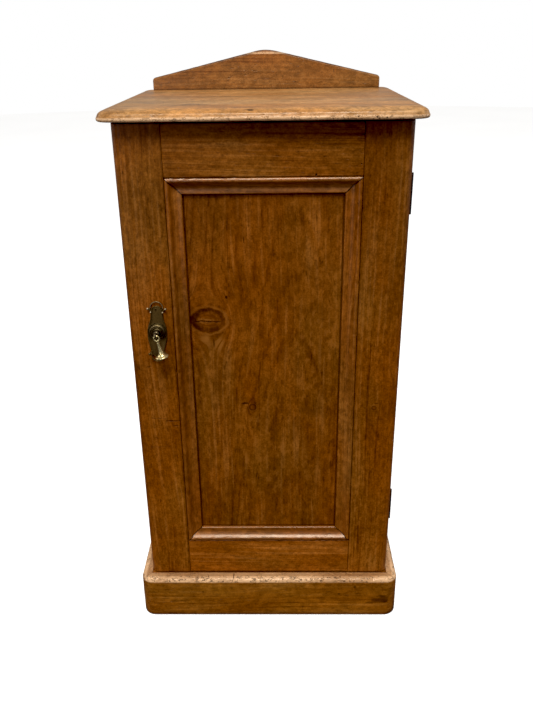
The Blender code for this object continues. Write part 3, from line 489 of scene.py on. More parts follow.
def arc(centre, radius, start, end, steps):
    """Points round an arc, from one angle to another in degrees."""
    points = []
    for i in range(steps + 1):
        turn = math.radians(start + (end - start) * i / steps)
        points.append((centre[0] + radius * math.cos(turn), centre[1] + radius * math.sin(turn)))
    return points


def skin(form, rows):
    """Faces between each row of vertices and the next, right round."""
    for lower, upper in zip(rows, rows[1:]):
        for i in range(len(lower)):
            j = (i + 1) % len(lower)
            form.faces.new((lower[i], lower[j], upper[j], upper[i]))


def loft(form, rings):
    """Skins a list of rings of points, all with the same count, and caps both ends."""
    rows = [[form.verts.new(point) for point in ring] for ring in rings]
    skin(form, rows)
    form.faces.new(rows[0])
    form.faces.new(list(reversed(rows[-1])))


def worn(co, size, scale):
    """A small random offset of a point on an old edge."""
    return noise.noise_vector(Vector(co) * scale) * size


def spaced(start, end, count):
    """The numbers strictly between two ends that cut the way into this many equal steps."""
    return [start + (end - start) * i / count for i in range(1, count)]


def knock(co, dents):
    """How deep the small dents are at a point: (centre, radius, depth) each."""
    return sum(deep * math.exp(-((Vector(co) - Vector(at)).length / wide) ** 2) for at, wide, deep in dents)


def scattered(seed, count, box, wide, deep):
    """Seeded random dents in a box, for an edge that has been knocked for a century."""
    draw = random.Random(seed)
    return [
        (tuple(draw.uniform(a, b) for a, b in box), draw.uniform(*wide), draw.uniform(*deep))
        for _ in range(count)
    ]


# ---- case boards

# The larger dents seen along the top's nose: (x, depth, z), radius, depth of the dent.
TOP_DENTS = [
    ((x, back(depth), z), wide, deep)
    for x, depth, z, wide, deep in (
        (-0.1080, -0.0150, 0.7882, 0.0040, 0.0011), (-0.0156, -0.0155, 0.7898, 0.0014, 0.0009),
        (0.1100, -0.0155, 0.7885, 0.0050, 0.0009), (0.1407, -0.0155, 0.7907, 0.0013, 0.0010),
        (0.1438, -0.0155, 0.7889, 0.0015, 0.0010), (0.1693, -0.0155, 0.7889, 0.0013, 0.0009),
    )
]
TOP_NOSE = 0.0032                                   # radius of the nose
THUMB_FOOT, THUMB_IN, THUMB_WIDE = 0.0061, 0.0015, 0.0185   # its lowest height, its inset there, its width


def top_board(form):
    """The top: rings of a round-cornered outline, from the underside out round the nose and up the thumb."""
    nose, under = TOP_NOSE, TOP_SURFACE - TOP_THICKNESS
    profile = [(nose + 0.006, 0.0)]
    profile += rounded(nose, range(0, 136, 15))
    # Above the nose the thumb springs from a small quirk and flattens out towards the top.
    high = TOP_THICKNESS - THUMB_FOOT
    for t in map(math.radians, range(12, 91, 6)):
        profile.append((THUMB_IN + THUMB_WIDE * (1 - math.cos(t)), THUMB_FOOT + high * math.sin(t)))
    profile.append((THUMB_IN + THUMB_WIDE + 0.004, TOP_THICKNESS))
    rear = back(CASE_DEPTH)
    nose_box = ((-0.2, 0.2), (back(-0.0165), back(-0.013)), (0.788, 0.795))
    dents = TOP_DENTS + scattered(5, 46, nose_box, (0.0008, 0.0020), (0.0002, 0.0006))
    rings = []
    for inset, height in profile:
        half, front = TOP_HALF - inset, back(-TOP_FRONT) + inset
        r = max(TOP_CORNER - inset, 0.0008)
        ring = [(-half, rear), *[(-half, y) for y in spaced(rear, front + r, 80)]]
        ring += arc((-half + r, front + r), r, 180, 270, 10)
        ring += [(x, front) for x in spaced(-half + r, half - r, 210)]
        ring += arc((half - r, front + r), r, 270, 360, 10)
        ring += [*[(half, y) for y in spaced(front + r, rear, 80)], (half, rear)]
        rings.append([(x, y, under + height) for x, y in ring])
    for k, ring in enumerate(rings):
        if 0 < k < len(rings) - 4:
            for i, (x, y, z) in enumerate(ring):
                if y < rear - 0.002:
                    push = abs(worn((x, y, z), 0.0005, 45).x) + abs(worn((x, y, z * 3), 0.0003, 160).y)
                    push += knock((x, y, z), dents)
                    inward = Vector((-x * 0.3, max(-y, 0.02), 0)).normalized() * push
                    ring[i] = (x + inward.x, y + inward.y, z - (push * 0.3 if z > under + nose else 0.0))
    loft(form, rings)


def gallery_board(form):
    """The board behind the top: its outline from the front to the back, drawn in at both arrises."""
    w, base = GALLERY_HALF, TOP_SURFACE + GAP
    shoulder, peak = base + GALLERY_SHOULDER, base + GALLERY_PEAK
    crown, corner = 0.075, 0.005        # radii of the rounded peak and of the shoulders
    pitch = math.atan2(GALLERY_PEAK - GALLERY_SHOULDER - 0.003, w - 0.016)
    rise, run = math.cos(pitch), math.sin(pitch)
    start = (w - corner + corner * run, shoulder - corner + corner * rise)
    end = (crown * run, peak - crown + crown * rise)
    upright = 90 - math.degrees(pitch)

    def outline(inset):
        """The board's edge, this far in from its full size."""
        slope = [
            (x - inset * run, z - inset * rise)
            for x, z in zip(spaced(start[0], end[0], 60), spaced(start[1], end[1], 60))
        ]
        half = [
            (w - inset, base),
            *arc((w - corner, shoulder - corner), corner - inset, 0, upright, 6),
            *slope,
            *arc((0, peak - crown), crown - inset, upright, 90, 16),
        ]
        return half + [(-x, z) for x, z in half[-2::-1]]

    front, rear = back(GALLERY_FACE), back(CASE_DEPTH)
    soft, hard = 0.0032, 0.0020         # how rounded the front and the rear arrises are
    levels = [(inset, front + step) for step, inset in rounded(soft, range(90, -1, -15))]
    levels += [(inset, rear - step) for step, inset in rounded(hard, range(0, 91, 18))]
    rings = []
    for inset, y in levels:
        ring = []
        for x, z in outline(min(inset, corner - 0.0004)):
            push = abs(worn((x, y, z), 0.0005, 50).z) if z > base + 0.004 else 0.0
            ring.append((x, y, z - push))
        rings.append(ring)
    loft(form, rings)


def plinth_outline(part):
    """The plan of one plinth board: its outer points first, then the two inner ones."""
    t, r = PLINTH_THICKNESS, PLINTH_RADIUS
    outer, inner = HALF_WIDTH + t, HALF_WIDTH + GAP
    front, inside, rear = back(-t), back(-GAP), back(CASE_DEPTH)
    left, right = (-outer + r, front + r), (outer - r, front + r)
    gap = 0.5       # degrees of the corner's arc left open at each side of the mitre
    if part == "front":
        run = [(x, front) for x in spaced(left[0], right[0], 250)]
        edge = [*arc(left, r, 225 + gap, 270, 10), *run, *arc(right, r, 270, 315 - gap, 10)]
        return edge, [(inner - MITRE_GAP, inside), (-inner + MITRE_GAP, inside)]
    run = [(outer, y) for y in spaced(right[1], rear, 110)]
    edge = [*arc(right, r, 315 + gap, 360, 10), *run, (outer, rear)]
    inside_points = [(inner, rear), (inner, inside + MITRE_GAP)]
    if part == "left":
        return [(-x, y) for x, y in edge], [(-x, y) for x, y in inside_points]
    return edge, inside_points


def plinth(part, form):
    """One plinth board: its plan from the foot up, drawn in at the foot and round the top edge."""
    edge, inside = plinth_outline(part)
    soft, foot = 0.0074, 0.0028     # how rounded the top edge and the foot are
    levels = rounded(foot, (0, 22, 45, 67, 90))
    levels += [(0.0, z) for z in spaced(foot, PLINTH_HEIGHT - soft, 6)]
    levels += [(inset, PLINTH_HEIGHT - step) for step, inset in rounded(soft, range(0, 91, 9))]
    levels += [(soft + 0.003, PLINTH_HEIGHT), (soft + 0.006, PLINTH_HEIGHT)]
    if part == "front":
        box = ((-0.21, 0.21), (back(-0.018), back(-0.006)), (0.066, PLINTH_HEIGHT))
        dents = scattered(11, 240, box, (0.0009, 0.0026), (0.0003, 0.0010))
    else:
        box = ((-0.212, 0.212), (back(-0.016), back(0.3)), (0.066, PLINTH_HEIGHT))
        dents = scattered(12, 60, box, (0.001, 0.003), (0.0003, 0.001))
    rings = []
    for inset, z in levels:
        ring = []
        for x, y in edge:
            # Inwards is towards the case: straight back at the front, straight across at the sides.
            flat_x = max(-HALF_WIDTH + 0.004, min(HALF_WIDTH - 0.004, x))
            inward = Vector((flat_x - x, max(back(0.004), y) - y, 0))
            if inward.length > 1e-9:
                inward.normalize()
            push = abs(worn((x, y, z), 0.0006, 38).x) + abs(worn((x, y, z), 0.00035, 150).y)
            if y > back(CASE_DEPTH) - 0.001 or z < 0.004:
                push = 0.0
            elif z > 0.060:
                push += knock((x, y, z), dents)
            shift = inward * (inset + push * (0.35 + 0.65 * (z > 0.05)))
            ring.append((x + shift.x, y + shift.y, z - (push * 0.8 if z > 0.068 else 0.0)))
        rings.append(ring + [(x, y, z) for x, y in inside])
    loft(form, rings)


# ---- door mouldings


def moulding_section():
    """(distance in from the frame, height above the panel), going inwards: bead, hollow, small round."""
    bead = arc((0.0039, 0.0073), 0.0035, 184, 36, 16)
    hollow = arc((0.0156, 0.0132), 0.0094, 216, 282, 14)
    inner_round = arc((0.0206, 0.0025), 0.0017, 100, 0, 8)
    return [(GAP, GAP), *bead, *hollow, *inner_round, (MOULDING_WIDTH - 0.0001, GAP)]


def moulding(turn, distance, half_length, form):
    """One strip of moulding, its outer edge this far from the panel's middle and its ends mitred."""
    section = moulding_section()
    centre = Vector((0, back(PANEL_RECESS), (OPENING_TOP + OPENING_BOTTOM) / 2))
    spin = Matrix.Rotation(math.radians(-turn), 3, "Y")
    steps = int(half_length * 2 / 0.002)
    draw = random.Random(turn + 3)
    knocks = [
        (draw.uniform(-half_length, half_length), draw.uniform(0.0015, 0.004), draw.uniform(0.0002, 0.0006))
        for _ in range(12)
    ]
    rings = []
    for i in range(steps + 1):
        ring = []
        for inset, height in section:
            reach = half_length - inset - MITRE_GAP
            along = -reach + 2 * reach * i / steps
            push = 0.0
            if height > 0.003:
                push = abs(worn((along + turn, inset, height), 0.0003, 55).y)
            if height > 0.009:
                push += sum(deep * math.exp(-(((along - at) / wide) ** 2)) for at, wide, deep in knocks)
            ring.append(centre + spin @ Vector((along, -height + push, inset - distance)))
        rings.append(ring)
    loft(form, rings)


# ---- handle


def turned(profile, place, steps):
    """The rings of a turned shape: profile is (radius, distance along Z) in mm, in the frame given."""
    return [
        [place @ Vector((radius / 1000 * c, radius / 1000 * s, height / 1000)) for c, s in around(steps)]
        for radius, height in profile
    ]


def rod(form, path, radii):
    """A round rod along a path of points, with one radius in mm for each point."""
    rings = []
    for i, (point, radius) in enumerate(zip(path, radii)):
        before, after = path[max(i - 1, 0)], path[min(i + 1, len(path) - 1)]
        ahead = (Vector(after) - Vector(before)).normalized()
        side = ahead.cross(Vector((0, 1, 0))).normalized()
        lift = side.cross(ahead).normalized()
        rings.append([Vector(point) + radius / 1000 * (c * side + s * lift) for c, s in around(12)])
    loft(form, rings)


def ball(form, centre, radius):
    turns = map(math.radians, (2, *range(15, 166, 15), 178))
    profile = [(radius * math.sin(t), -radius * math.cos(t)) for t in turns]
    loft(form, turned(profile, Matrix.Translation(centre), 20))


def on_plate(x, z, proud):
    """A point of the backplate, given in mm from the spindle and turned with the plate."""
    turn, lean = math.cos(PLATE_TILT) / 1000, math.sin(PLATE_TILT) / 1000
    return Vector((LATCH_X + x * turn + z * lean, back(-proud / 1000), LATCH_Z + z * turn - x * lean))


# (height above the spindle, half width) of the plate's solid body, in mm like the rest of the handle.
PLATE_WIDTHS = (
    (38.5, 1.2), (38, 3.2), (37, 5), (35.2, 6.6), (32.5, 7.9), (29, 8.6), (25, 8.7), (20, 9.3), (15, 10.4),
    (9, 12.4), (3, 13.7), (-3, 14), (-9, 13.8), (-15, 12.9), (-20, 11.7), (-25, 10.3), (-29, 9.4),
    (-32.5, 8.6), (-35.2, 7.4), (-37, 5.6), (-38, 3.4), (-38.5, 1),
)
PLATE_HALF_HEIGHT = 38.5
# How far the body stands out, by how far across its half width: a rolled rim round a shallow hollow.
RIM = ((1.0, 0.4), (0.985, 1.5), (0.95, 2.2), (0.90, 2.3), (0.84, 1.7), (0.74, 1.2), (0.5, 1.3))
PLATE_SECTION = (*((-across, rise) for across, rise in RIM), (0.0, 1.5), *reversed(RIM))
# The cast horns that run out to the lobes: (across, height, how proud, radius) along each.
HORNS = (
    ((7.2, 29, 1, 0.9), (9.2, 31.6, 1.1, 1.2), (11.2, 33.8, 1.2, 1.1), (12.2, 34.7, 1.3, 0.9)),
    ((8.5, 35.2, 1.4, 0.8), (9.6, 34, 1.4, 0.8), (11.2, 34.5, 1.3, 0.8)),
)


def plate_body(form):
    """The plate's raised body: flat in the middle, with a rolled rim that drops to the door."""
    rings = []
    for z, half in PLATE_WIDTHS:
        end = 1.0 - min(1.0, abs(z) / PLATE_HALF_HEIGHT) ** 24 * 0.6
        front = [on_plate(half * across, z, 1000 * GAP + rise * end) for across, rise in PLATE_SECTION]
        rear = [on_plate(half * across, z, 1000 * GAP) for across, _ in reversed(PLATE_SECTION)]
        rings.append(front + rear)
    loft(form, rings)


def plate(form):
    """The cast plate: its body, and at each end an open loop, a brow, and horns with lobes at their ends."""
    plate_body(form)
    for up in (1, -1):
        loop, brow = arc((0, 36.4), 8.6, -8, 188, 26), arc((0, 30.0), 8.0, 20, 160, 14)
        for bend, proud, radius in ((loop, 2.2, 0.80), (brow, 1.9, 0.55)):
            rod(form, [on_plate(x, up * z, proud) for x, z in bend], [radius] * len(bend))
        # The lower lobes lie flatter, clear of the drop.
        proud = 3.0 if up > 0 else 1.4
        for side in (1, -1):
            for horn in HORNS:
                path = [on_plate(side * x, up * z, out) for x, z, out, _ in horn]
                rod(form, path, [row[3] for row in horn])
            for x, z, radius in ((8.3, 29.6, 1.25), (12.3, 34.6, 1.50)):
                ball(form, on_plate(side * x, up * z, proud), radius)


def rosette(form):
    """Rings within rings round the spindle."""
    inner = 3.4         # the hole for the spindle
    profile = [
        (inner, 0), (13.5, 0), (13.7, 0.5), (13.2, 1), (12.6, 0.9), (12.2, 0.5), (11.7, 0.6), (11.3, 1.3),
        (10.4, 2.2), (9.7, 2.5), (9.1, 1.8), (8.7, 1), (8.2, 1), (7.8, 1.5), (7.2, 1.8), (6.6, 1.5),
        (6.1, 1), (5.6, 1.1), (5.1, 1.9), (4.5, 2.3), (inner, 2.3), (inner, 0),
    ]
    place = Matrix.Translation(on_plate(0, 0, 1000 * PLATE_THICKNESS + 0.4))
    rings = turned(profile[:-1], place @ Matrix.Rotation(math.pi / 2, 4, "X"), 64)
    rows = [[form.verts.new(point) for point in ring] for ring in rings]
    skin(form, [*rows, rows[0]])


def leaning(depth, along=0.0):
    """The frame of a latch piece at a depth, this far down the pendant's lean."""
    origin = Matrix.Translation((LATCH_X, back(depth), LATCH_Z))
    return origin @ Matrix.Rotation(LEAN, 4, "Y") @ Matrix.Translation((0, 0, -along))


def stud(form):
    """The turned knob on the spindle, between its collar and its eye."""
    profile = [
        (0.6, 4.8), (4.4, 4.9), (4.9, 5.6), (4.9, 6.2), (4.2, 6.8), (3.6, 7.2), (3.8, 7.8), (4.3, 8.5),
        (4.6, 9.4), (4.5, 10.4), (4, 11.3), (3.2, 12), (2.5, 12.5), (0.6, 12.7),
    ]
    loft(form, turned(profile, leaning(0) @ Matrix.Rotation(math.pi / 2, 4, "X"), 48))


def pendant(form):
    """The drop: a ring, a stem that flares like a trumpet, and a round foot."""
    stem = [
        (0.6, -6.2), (1.7, -6.6), (1.9, -7.3), (1.5, -8), (1.2, -8.8), (1.4, -9.6), (1.6, -10.4),
        (1.7, -11.2), (1.8, -12.4), (1.9, -14.5), (2.2, -17), (2.5, -19.5), (2.8, -22), (3.3, -24.5),
        (4.1, -26.7), (5.1, -28.3), (6.9, -29.3), (8.5, -29.8), (9.2, -30.4), (9.3, -31.1), (9, -31.8),
        (8.2, -32.3), (6.2, -32.6), (5, -33.1), (3, -33.4), (0.6, -33.4),
    ]
    loft(form, turned(stem, leaning(SWING_DEPTH) @ Matrix.Scale(1.045, 4, (0, 0, 1)), 48))
    ring_radius, wire = 0.0036, 0.0011
    place = leaning(SWING_DEPTH, ring_radius + 0.0006) @ Matrix.Rotation(math.pi / 2, 4, "X")
    rows = []
    for c, s in around(40):
        # The ring is worn thin at its top and thick where the stem joins it.
        thick = wire * (1.0 + 0.28 * max(0.0, -s))
        row = []
        for c2, s2 in around(12):
            reach = ring_radius + thick * c2
            row.append(form.verts.new(place @ Vector((reach * c, reach * s, thick * s2))))
        rows.append(row)
    skin(form, [*rows, rows[0]])


# ---- build everything


def assign(node, material):
    """Gives a CAD node a material."""
    NODES[node].data.materials.clear()
    NODES[node].data.materials.append(material)


def nicks(depth, *rows, half_y=0.004):
    """Dents and stains on a face at this depth: (x, z, half width, half height) in mm, then the strength."""
    return tuple(
        ((x / 1000, back(depth), z / 1000), (wide / 1000, half_y, high / 1000), strength)
        for x, z, wide, high, strength in rows
    )


# ---- the door's frame and panel
DOOR_SHADE = ("Z", 0.735, 0.785, 0.67)      # the shadow of the top over the head of the door


def door_board(name, axes, seed, **looks):
    """One board of the door. The panel's edges are in its grooves, so only the frame has grime along them."""
    edges = None if name == "panel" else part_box(f"door_{name}")
    assign(f"door_{name}", pine(f"{name}_pine", axes, seed, edges=edges, gloss=0.35, **looks))


door_board(
    "panel", "ZXY", 3.1, pith=(0.038, 0.012), pitch=0.0075, lean=0.060, rings=0.22, streaks=0.80,
    knots=((-0.0812, 0.5170, 0.0260, 1.36), (-0.0210, 0.3785, 0.0060, 1.0)),
    marks=nicks(
        PANEL_RECESS,
        (-54, 551.3, 2.2, 2.6, 0.80), (-31, 384.5, 6, 2.2, 0.72),
        (-85, 486, 10, 13, -0.95), (-65.6, 480, 10, 15, -0.90),
        (-74, 483, 1.1, 8, 0.62), (-27.7, 631.1, 0.9, 4.5, 0.60),
        (-50, 615, 0.7, 60, 0.38),
    ),
    # Painted shade: the panel is darker under the head of the opening; it is also made darker towards its left
    # side and towards its foot.
    shades=(("Z", 0.660, 0.700, 0.86), ("X", -0.070, -0.106, 0.92), ("Z", 0.330, 0.200, 0.92)),
    corner=MOULDING_WIDTH + 0.0010,
)
door_board(
    "latch_stile", "ZXY", 7.7, pith=(-0.36, 0.05), pitch=0.0046, rings=0.20, streaks=0.95, grime=0.40,
    marks=nicks(
        0.0,
        (-138, 360.5, 11, 1.1, 0.95), (-134.5, 352, 6.5, 0.9, 0.80),
        (-160, 365, 14, 0.7, 0.45), (-168.4, 449.3, 3, 0.9, 0.50),
        (-165, 315.7, 23, 0.5, 0.40),
    ),
    # Painted light: the stile is made lighter towards its foot.
    shades=(DOOR_SHADE, ("Z", 0.420, 0.180, 1.16)),
)
door_board(
    "hinge_stile", "ZXY", 12.3, pith=(0.30, 0.03), pitch=0.0046, rings=0.20, streaks=0.95, grime=0.34,
    knots=((0.1578, 0.3808, 0.0040, 1.0),),
    marks=nicks(0.0, (148.7, 460, 0.5, 46, 0.55), (160, 388, 4, 1.2, 0.50))
    + nicks(0.002, (182.2, 227.5, 0.7, 9, 0.55)),
    # Painted light: the stile is made lighter towards its foot; it is also darker in its upper part.
    shades=(DOOR_SHADE, ("Z", 0.500, 0.700, 0.84), ("Z", 0.420, 0.150, 1.34)),
)
door_board(
    "top_rail", "XZY", 21.9, pith=(0.50, 0.10), pitch=0.0030, rings=0.34, streaks=0.90,
    marks=nicks(0.0, (67.9, 719.5, 1.8, 1.8, 0.95), (125.6, 732.5, 1.2, 1.2, 0.8)),
    shades=(DOOR_SHADE,),
)
door_board(
    "bottom_rail", "XZY", 27.4, pith=(0.02, 0.06), pitch=0.0036, rings=0.28, streaks=0.90,
    # Painted light: the whole rail is made about a third lighter.
    shades=(("Z", 0.300, 0.160, 1.34),),
)

# ---- the case's sides and bare boards
for side, seed, joint, pith in (("left", 31.0, 0.030, 0.11), ("right", 36.5, -0.012, -0.11)):
    side_pine = pine(
        f"side_{side}_pine", "ZYX", seed, pith=(0.02, pith), pitch=0.0045, rings=0.32, joint=joint,
        edges=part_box(f"side_{side}"), gloss=0.5,
        knots=((0.095, 0.520, 0.013, 1.1), (-0.070, 0.240, 0.0085, 1.2)),
    )
    assign(f"side_{side}", side_pine)
for axes, boards in (
    ("XYZ", (("bottom_board", 81.0), ("shelf", 84.0))),
    ("XZY", (("case_front_rail", 87.0), ("case_back_rail", 88.5))),
    ("YZX", (("shelf_bearer_left", 99.0), ("shelf_bearer_right", 102.0))),
    ("ZXY", (("back_board_left", 90.0), ("back_board_middle", 93.0), ("back_board_right", 96.0),
             ("glue_block_left", 108.0), ("glue_block_right", 109.0),
             ("gallery_dowel_left", 110.0), ("gallery_dowel_right", 111.0))),
):
    for node, seed in boards:
        assign(node, pine(f"{node}_pine", axes, seed, "bare", (0.02, 0.13), pitch=0.0042, edges=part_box(node)))
assign("base_front_rail", pine("base_rail_pine", "XZY", 105.0, pith=(0.02, 0.13), gloss=0.3))

# ---- the top, the gallery and the plinth
top_pine = pine(
    "top_pine", "XYZ", 41.0, tone="top", pith=(-0.05, 0.72), pitch=0.0062, rings=0.42, joint=0.030,
    knots=((-0.105, -0.091, 0.0040, 0.35),),
    marks=(
        ((-0.0144, back(-0.009), 0.8000), (0.0060, 0.0040, 0.0014), 0.75),
        *nicks(-0.015, (-108, 788, 4, 1.4, 0.80)),
        *nicks(
            -0.016,
            (-15.6, 789.8, 1.2, 1.2, 0.95), (140.7, 790.7, 1.4, 1.4, 0.95),
            (143.8, 788.9, 1.5, 1.2, 0.95), (117.9, 791.2, 1.3, 1, 0.85),
            (152.9, 790, 1.2, 1, 0.80), (169.3, 788.9, 1.2, 1, 0.85),
            (172.8, 788.6, 1.2, 1, 0.80), (108, 788.6, 14, 1, 0.55),
        ),
    ),
    # The pale band along the nose is worn wax and painted highlight together.
    wear_and_highlight=(0.35, ("Z", 0.7936, 0.7918, 0.0)),
    shades=(("X", 0.150, 0.205, 0.80), ("X", -0.150, -0.205, 0.80)), rough=(0.28, 0.40), gloss=0.8,
)
new_piece("top", "case", top_pine, "top_board", build=top_board)
gallery_pine = pine(
    "gallery_pine", "XZY", 47.2, tone="gallery", pith=(0.70, 0.26), pitch=0.0046, rings=0.30,
    marks=nicks(GALLERY_FACE, (110, 829, 1, 3, 0.5), (-60, 820, 3, 0.8, 0.5)),
    # The crown's top arris is darkened with painted shade; the base is darker along its joint with the top.
    shades=(("Z", 0.8060, 0.8032, 0.55), ("Z", 0.8588, 0.8600, 0.70)),
    # A pale crescent of painted highlight just under the crown, and painted shade along the sloping arrises.
    wear_and_highlight=(0.1, ("Z", 0.8548, 0.8560, 0.0), ("Z", 0.8590, 0.8578, 0.0)), pitched=(0.8622, 0.2172),
)
new_piece("gallery", "case", gallery_pine, "gallery_board", build=gallery_board)
# The first two marks on the front are broad dark patches near its right end.
plinth_marks = (
    *nicks(
        -PLINTH_THICKNESS,
        (185, 33, 17, 10, 0.62), (165, 26, 10, 3, 0.45),
        (114.5, 45, 2.2, 1.8, 0.75), (140.2, 59, 2, 4, 0.55),
    ),
    *nicks(-0.008, (-57.5, 75, 1, 4, 0.80), half_y=0.009),
    *nicks(-PLINTH_THICKNESS, (-150, 30, 16, 3, 0.35), (95, 74, 6, 3, 0.45)),
    *nicks(-0.015, (52.2, 72.5, 2, 2, 0.60)),
)
for part, axes, seed, edge_axis, face, outwards in (
    ("front", "XZY", 53.0, "Y", FACE_Y, -1),
    ("left", "YZX", 57.5, "X", -HALF_WIDTH, -1),
    ("right", "YZX", 61.0, "X", HALF_WIDTH, 1),
):
    # The top edge is pale with worn wax and painted highlight, and less so in its inner half.
    outer_half = (edge_axis, face + outwards * 0.0072, face + outwards * 0.0096, 0.46)
    plinth_pine = pine(
        f"plinth_{part}_pine", axes, seed, tone="plinth", pith=(-0.05, 0.0), pitch=0.0044, rings=0.30,
        # Painted shade darkens the foot of each board.
        streaks=0.95, marks=plinth_marks if part == "front" else (), shades=(("Z", 0.012, 0.001, 0.55),),
        wear_and_highlight=(0.90, ("Z", PLINTH_HEIGHT - 0.0078, PLINTH_HEIGHT - 0.0050, 0.0), outer_half),
        rough=(0.24, 0.36),
    )
    new_piece(f"plinth_{part}_board", "case", plinth_pine, f"plinth_{part}", build=partial(plinth, part))

# ---- the mouldings: name, turn, half the opening that way, half the length, marks and shades
half_height = (OPENING_TOP - OPENING_BOTTOM) / 2
# Painted light: the shades make the bottom, right and top strips lighter than the left.
for name, turn, distance, half_length, marks, shades in (
    ("bottom", 0, half_height, OPENING_HALF,
     nicks(-0.001, (-86.3, 150.1, 2.2, 1.8, 0.65), (95.2, 151.7, 2, 1.8, 0.65)),
     (("Z", 0.2, 0.161, 1.2),)),
    ("right", 90, OPENING_HALF, half_height,
     nicks(0.002, (122.4, 682.2, 1.6, 3.6, 0.90), (123.7, 543.6, 1.4, 2.6, 0.70),
           (118, 470, 1.4, 3, 0.60), (115, 235, 1.4, 3, 0.60)),
     (("Z", 0.8, 0.7, 1.15),)),
    ("top", 180, half_height, OPENING_HALF,
     nicks(0.003, (-98, 709, 3, 1.2, 0.55), (20, 704, 4, 1, 0.45)),
     (("Z", 0.8, 0.7, 1.2),)),
    ("left", 270, OPENING_HALF, half_height,
     nicks(0.004, (-124.3, 612.6, 1.6, 4, 0.90), (-120, 205, 1.2, 4, 0.60)),
     ()),
):
    level = turn % 180 == 0
    moulding_pine = pine(
        f"moulding_{name}_pine", "XZY" if level else "ZXY", 70.0 + turn / 10, pith=(0.6, 0.1), pitch=0.0030,
        rings=0.30, marks=marks, shades=shades, mitred=True, gloss=2.0 if level else 0.9, rough=(0.34, 0.44),
        relief=0.00010,
    )
    build = partial(moulding, turn, distance, half_length)
    new_piece(f"panel_moulding_{name}", "door", moulding_pine, f"moulding_{name}", build=build)

# ---- the handle and the ironwork
plate_brass = aged_brass(
    "plate_brass", (0.46, 0.35, 0.20), (0.170, 0.108, 0.034), (0.028, 0.017, 0.006),
    raised=(-0.0024, -0.0036), rough=0.42, wear=0.55, solid=0.45, lit_above=LATCH_Z + 0.010,
)
rosette_brass = aged_brass(
    "rosette_brass", (0.26, 0.19, 0.09), (0.090, 0.062, 0.022), (0.022, 0.015, 0.006),
    raised=(-0.0034, -0.0050), rough=0.40, wear=0.60, solid=1.0,
)
stud_brass = aged_brass(
    "stud_brass", (0.17, 0.13, 0.07), (0.040, 0.028, 0.011), (0.014, 0.010, 0.005),
    raised=(-0.0095, -0.0130), rough=0.38, wear=0.60, solid=1.0,
)
drop_brass = aged_brass(
    "drop_brass", (0.78, 0.64, 0.31), (0.34, 0.25, 0.090), (0.05, 0.034, 0.012),
    raised=(-0.010, -0.020), rough=0.27, wear=0.50, solid=0.86,
)
new_piece("backplate", "door", plate_brass, "handle_backplate", build=plate, smooth=60)
new_piece("rosette", "door", rosette_brass, "handle_rosette", build=rosette, smooth=60)
new_piece("spindle_stud", "latch", stud_brass, build=stud, smooth=60)
new_piece("drop", "drop", drop_brass, "pendant_drop", build=pendant, smooth=60)
iron = ironwork(
    "hinge_iron", 260, 5,
    [(0.30, (0.016, 0.011, 0.009)), (0.62, (0.045, 0.030, 0.022)), (0.80, (0.100, 0.045, 0.022))],
    rough=(0.3, 0.8, 0.42, 0.75), pitted=0.5, distance=0.0002, metallic=0.8,
)
steel = ironwork(
    "screw_steel", 700, 4,
    [(0.30, (0.20, 0.18, 0.155)), (0.60, (0.11, 0.095, 0.08)), (0.78, (0.10, 0.045, 0.02))],
    rough=(0.3, 0.75, 0.30, 0.62), pitted=0.0, distance=0.0001, metallic=1.0,
)
for node in NODES:
    if node.startswith("handle_pin"):
        assign(node, rosette_brass)
    elif node in ("latch_spindle", "latch_nut"):
        assign(node, stud_brass)
    elif node.endswith("_leaf") or node == "latch_tongue":
        assign(node, iron)
    elif "_screw_" in node or node.startswith("hinge") and node.endswith("_pin"):
        assign(node, steel)


# ---- floor, light and camera

# The world's brightness by height: 0 is straight down, 0.5 the horizon, 1 overhead.
WORLD_STOPS = ((0.0, 0.05), (0.47, 0.06), (0.53, 0.25), (0.70, 0.40), (1.0, 0.50))
WORLD_TINT = (1.0, 0.985, 0.96)
# Each light's name, place, target, size and power.
LIGHTS = (
    ("overhead", (0.0, -2.30, 4.5), (0, -0.10, 0.4), 1.5, 165.0),
    ("front", (-1.6, -2.7, 0.9), (0, 0, 0.2), 1.4, 17.0),
    ("left", (-3.2, 0.6, 1.2), (0, 0.02, 0.45), 1.6, 20.0),
    ("right", (3.2, 0.6, 1.2), (0, 0.02, 0.45), 1.6, 20.0),
)
# The camera's place, its lens, and its yaw, pitch and roll in degrees, solved from the photograph's corners.
CAMERA_PLACE, CAMERA_LENS, CAMERA_TURNS = (0.0199, FACE_Y - 0.9382, 0.8858), 36.573, (-1.153, 24.046, -0.815)
BLACK_LEVEL = (0.009, 0.009, 0.005)     # linear values that print as black


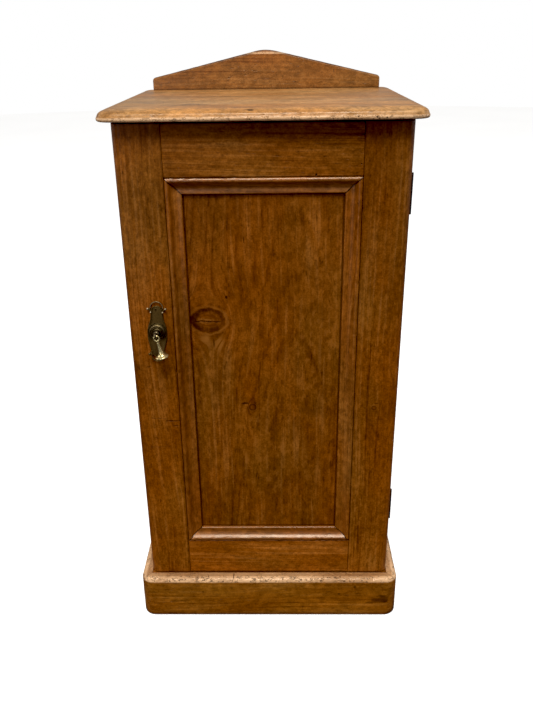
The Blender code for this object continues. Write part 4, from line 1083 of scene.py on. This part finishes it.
def floor():
    """A wide pale disc under the cupboard, bright enough to print almost white."""
    form = bmesh.new()
    bmesh.ops.create_circle(form, cap_ends=True, radius=9.0, segments=96)
    obj = new_object("floor", form)
    s = Shader("floor_white")
    cloud = s.noise(s.place, scale=1.4, detail=3)
    colour = s.ramp(cloud, [(0.3, (0.88, 0.88, 0.88)), (0.7, (0.92, 0.92, 0.92))])
    white = s.finish(colour, 0.9, cloud, 0.0001, Emission_Color=WHITE, Emission_Strength=0.55)
    obj.data.materials.append(white)
    obj.location.z = -0.0004
    obj.visible_glossy = False
    obj.visible_diffuse = False


def studio():
    """A soft room, brighter overhead and plain white to the camera, with four disc lights."""
    world = bpy.data.worlds.new("studio")
    bpy.context.scene.world = world
    world.use_nodes = True
    s = Nodes(world.node_tree, "Generated")
    height = s.node("ShaderNodeMapRange")
    height.inputs["From Min"].default_value = -1.0
    s.link(s.z, height.inputs["Value"])
    stops = [(position, [value * tint for tint in WORLD_TINT]) for position, value in WORLD_STOPS]
    colour = s.ramp(height.outputs["Result"], stops, "LINEAR")
    seen = s.node("ShaderNodeLightPath").outputs["Is Camera Ray"]
    s.link(s.mix(seen, colour, WHITE[:3]), s.tree.nodes["Background"].inputs["Color"])
    for name, place, target, size, power in LIGHTS:
        light = bpy.data.lights.new(name, "AREA")
        light.shape = "DISK"
        light.size = size
        light.energy = power
        obj = bpy.data.objects.new(name, light)
        bpy.context.scene.collection.objects.link(obj)
        obj.location = place
        obj.rotation_euler = (Vector(target) - Vector(place)).to_track_quat("-Z", "Y").to_euler()


def camera():
    yaw, pitch, roll = (math.radians(a) for a in CAMERA_TURNS)
    forward = Vector((math.sin(yaw) * math.cos(pitch), math.cos(yaw) * math.cos(pitch), -math.sin(pitch)))
    right = Vector((math.cos(yaw), -math.sin(yaw), 0.0))
    up = right.cross(forward)
    right, up = math.cos(roll) * right + math.sin(roll) * up, math.cos(roll) * up - math.sin(roll) * right
    data = bpy.data.cameras.new("camera")
    data.lens = CAMERA_LENS
    obj = bpy.data.objects.new("camera", data)
    turn = Matrix((right, up, -forward)).transposed()
    obj.matrix_world = Matrix.Translation(CAMERA_PLACE) @ turn.to_4x4()
    bpy.context.scene.collection.objects.link(obj)
    bpy.context.scene.camera = obj


def develop():
    """The tone of the picture: plain, with its deepest shadows let down to black."""
    view = bpy.context.scene.view_settings
    view.view_transform = "Standard"
    view.use_curve_mapping = True
    view.curve_mapping.black_level = BLACK_LEVEL
    view.curve_mapping.update()


floor()
studio()
camera()
develop()
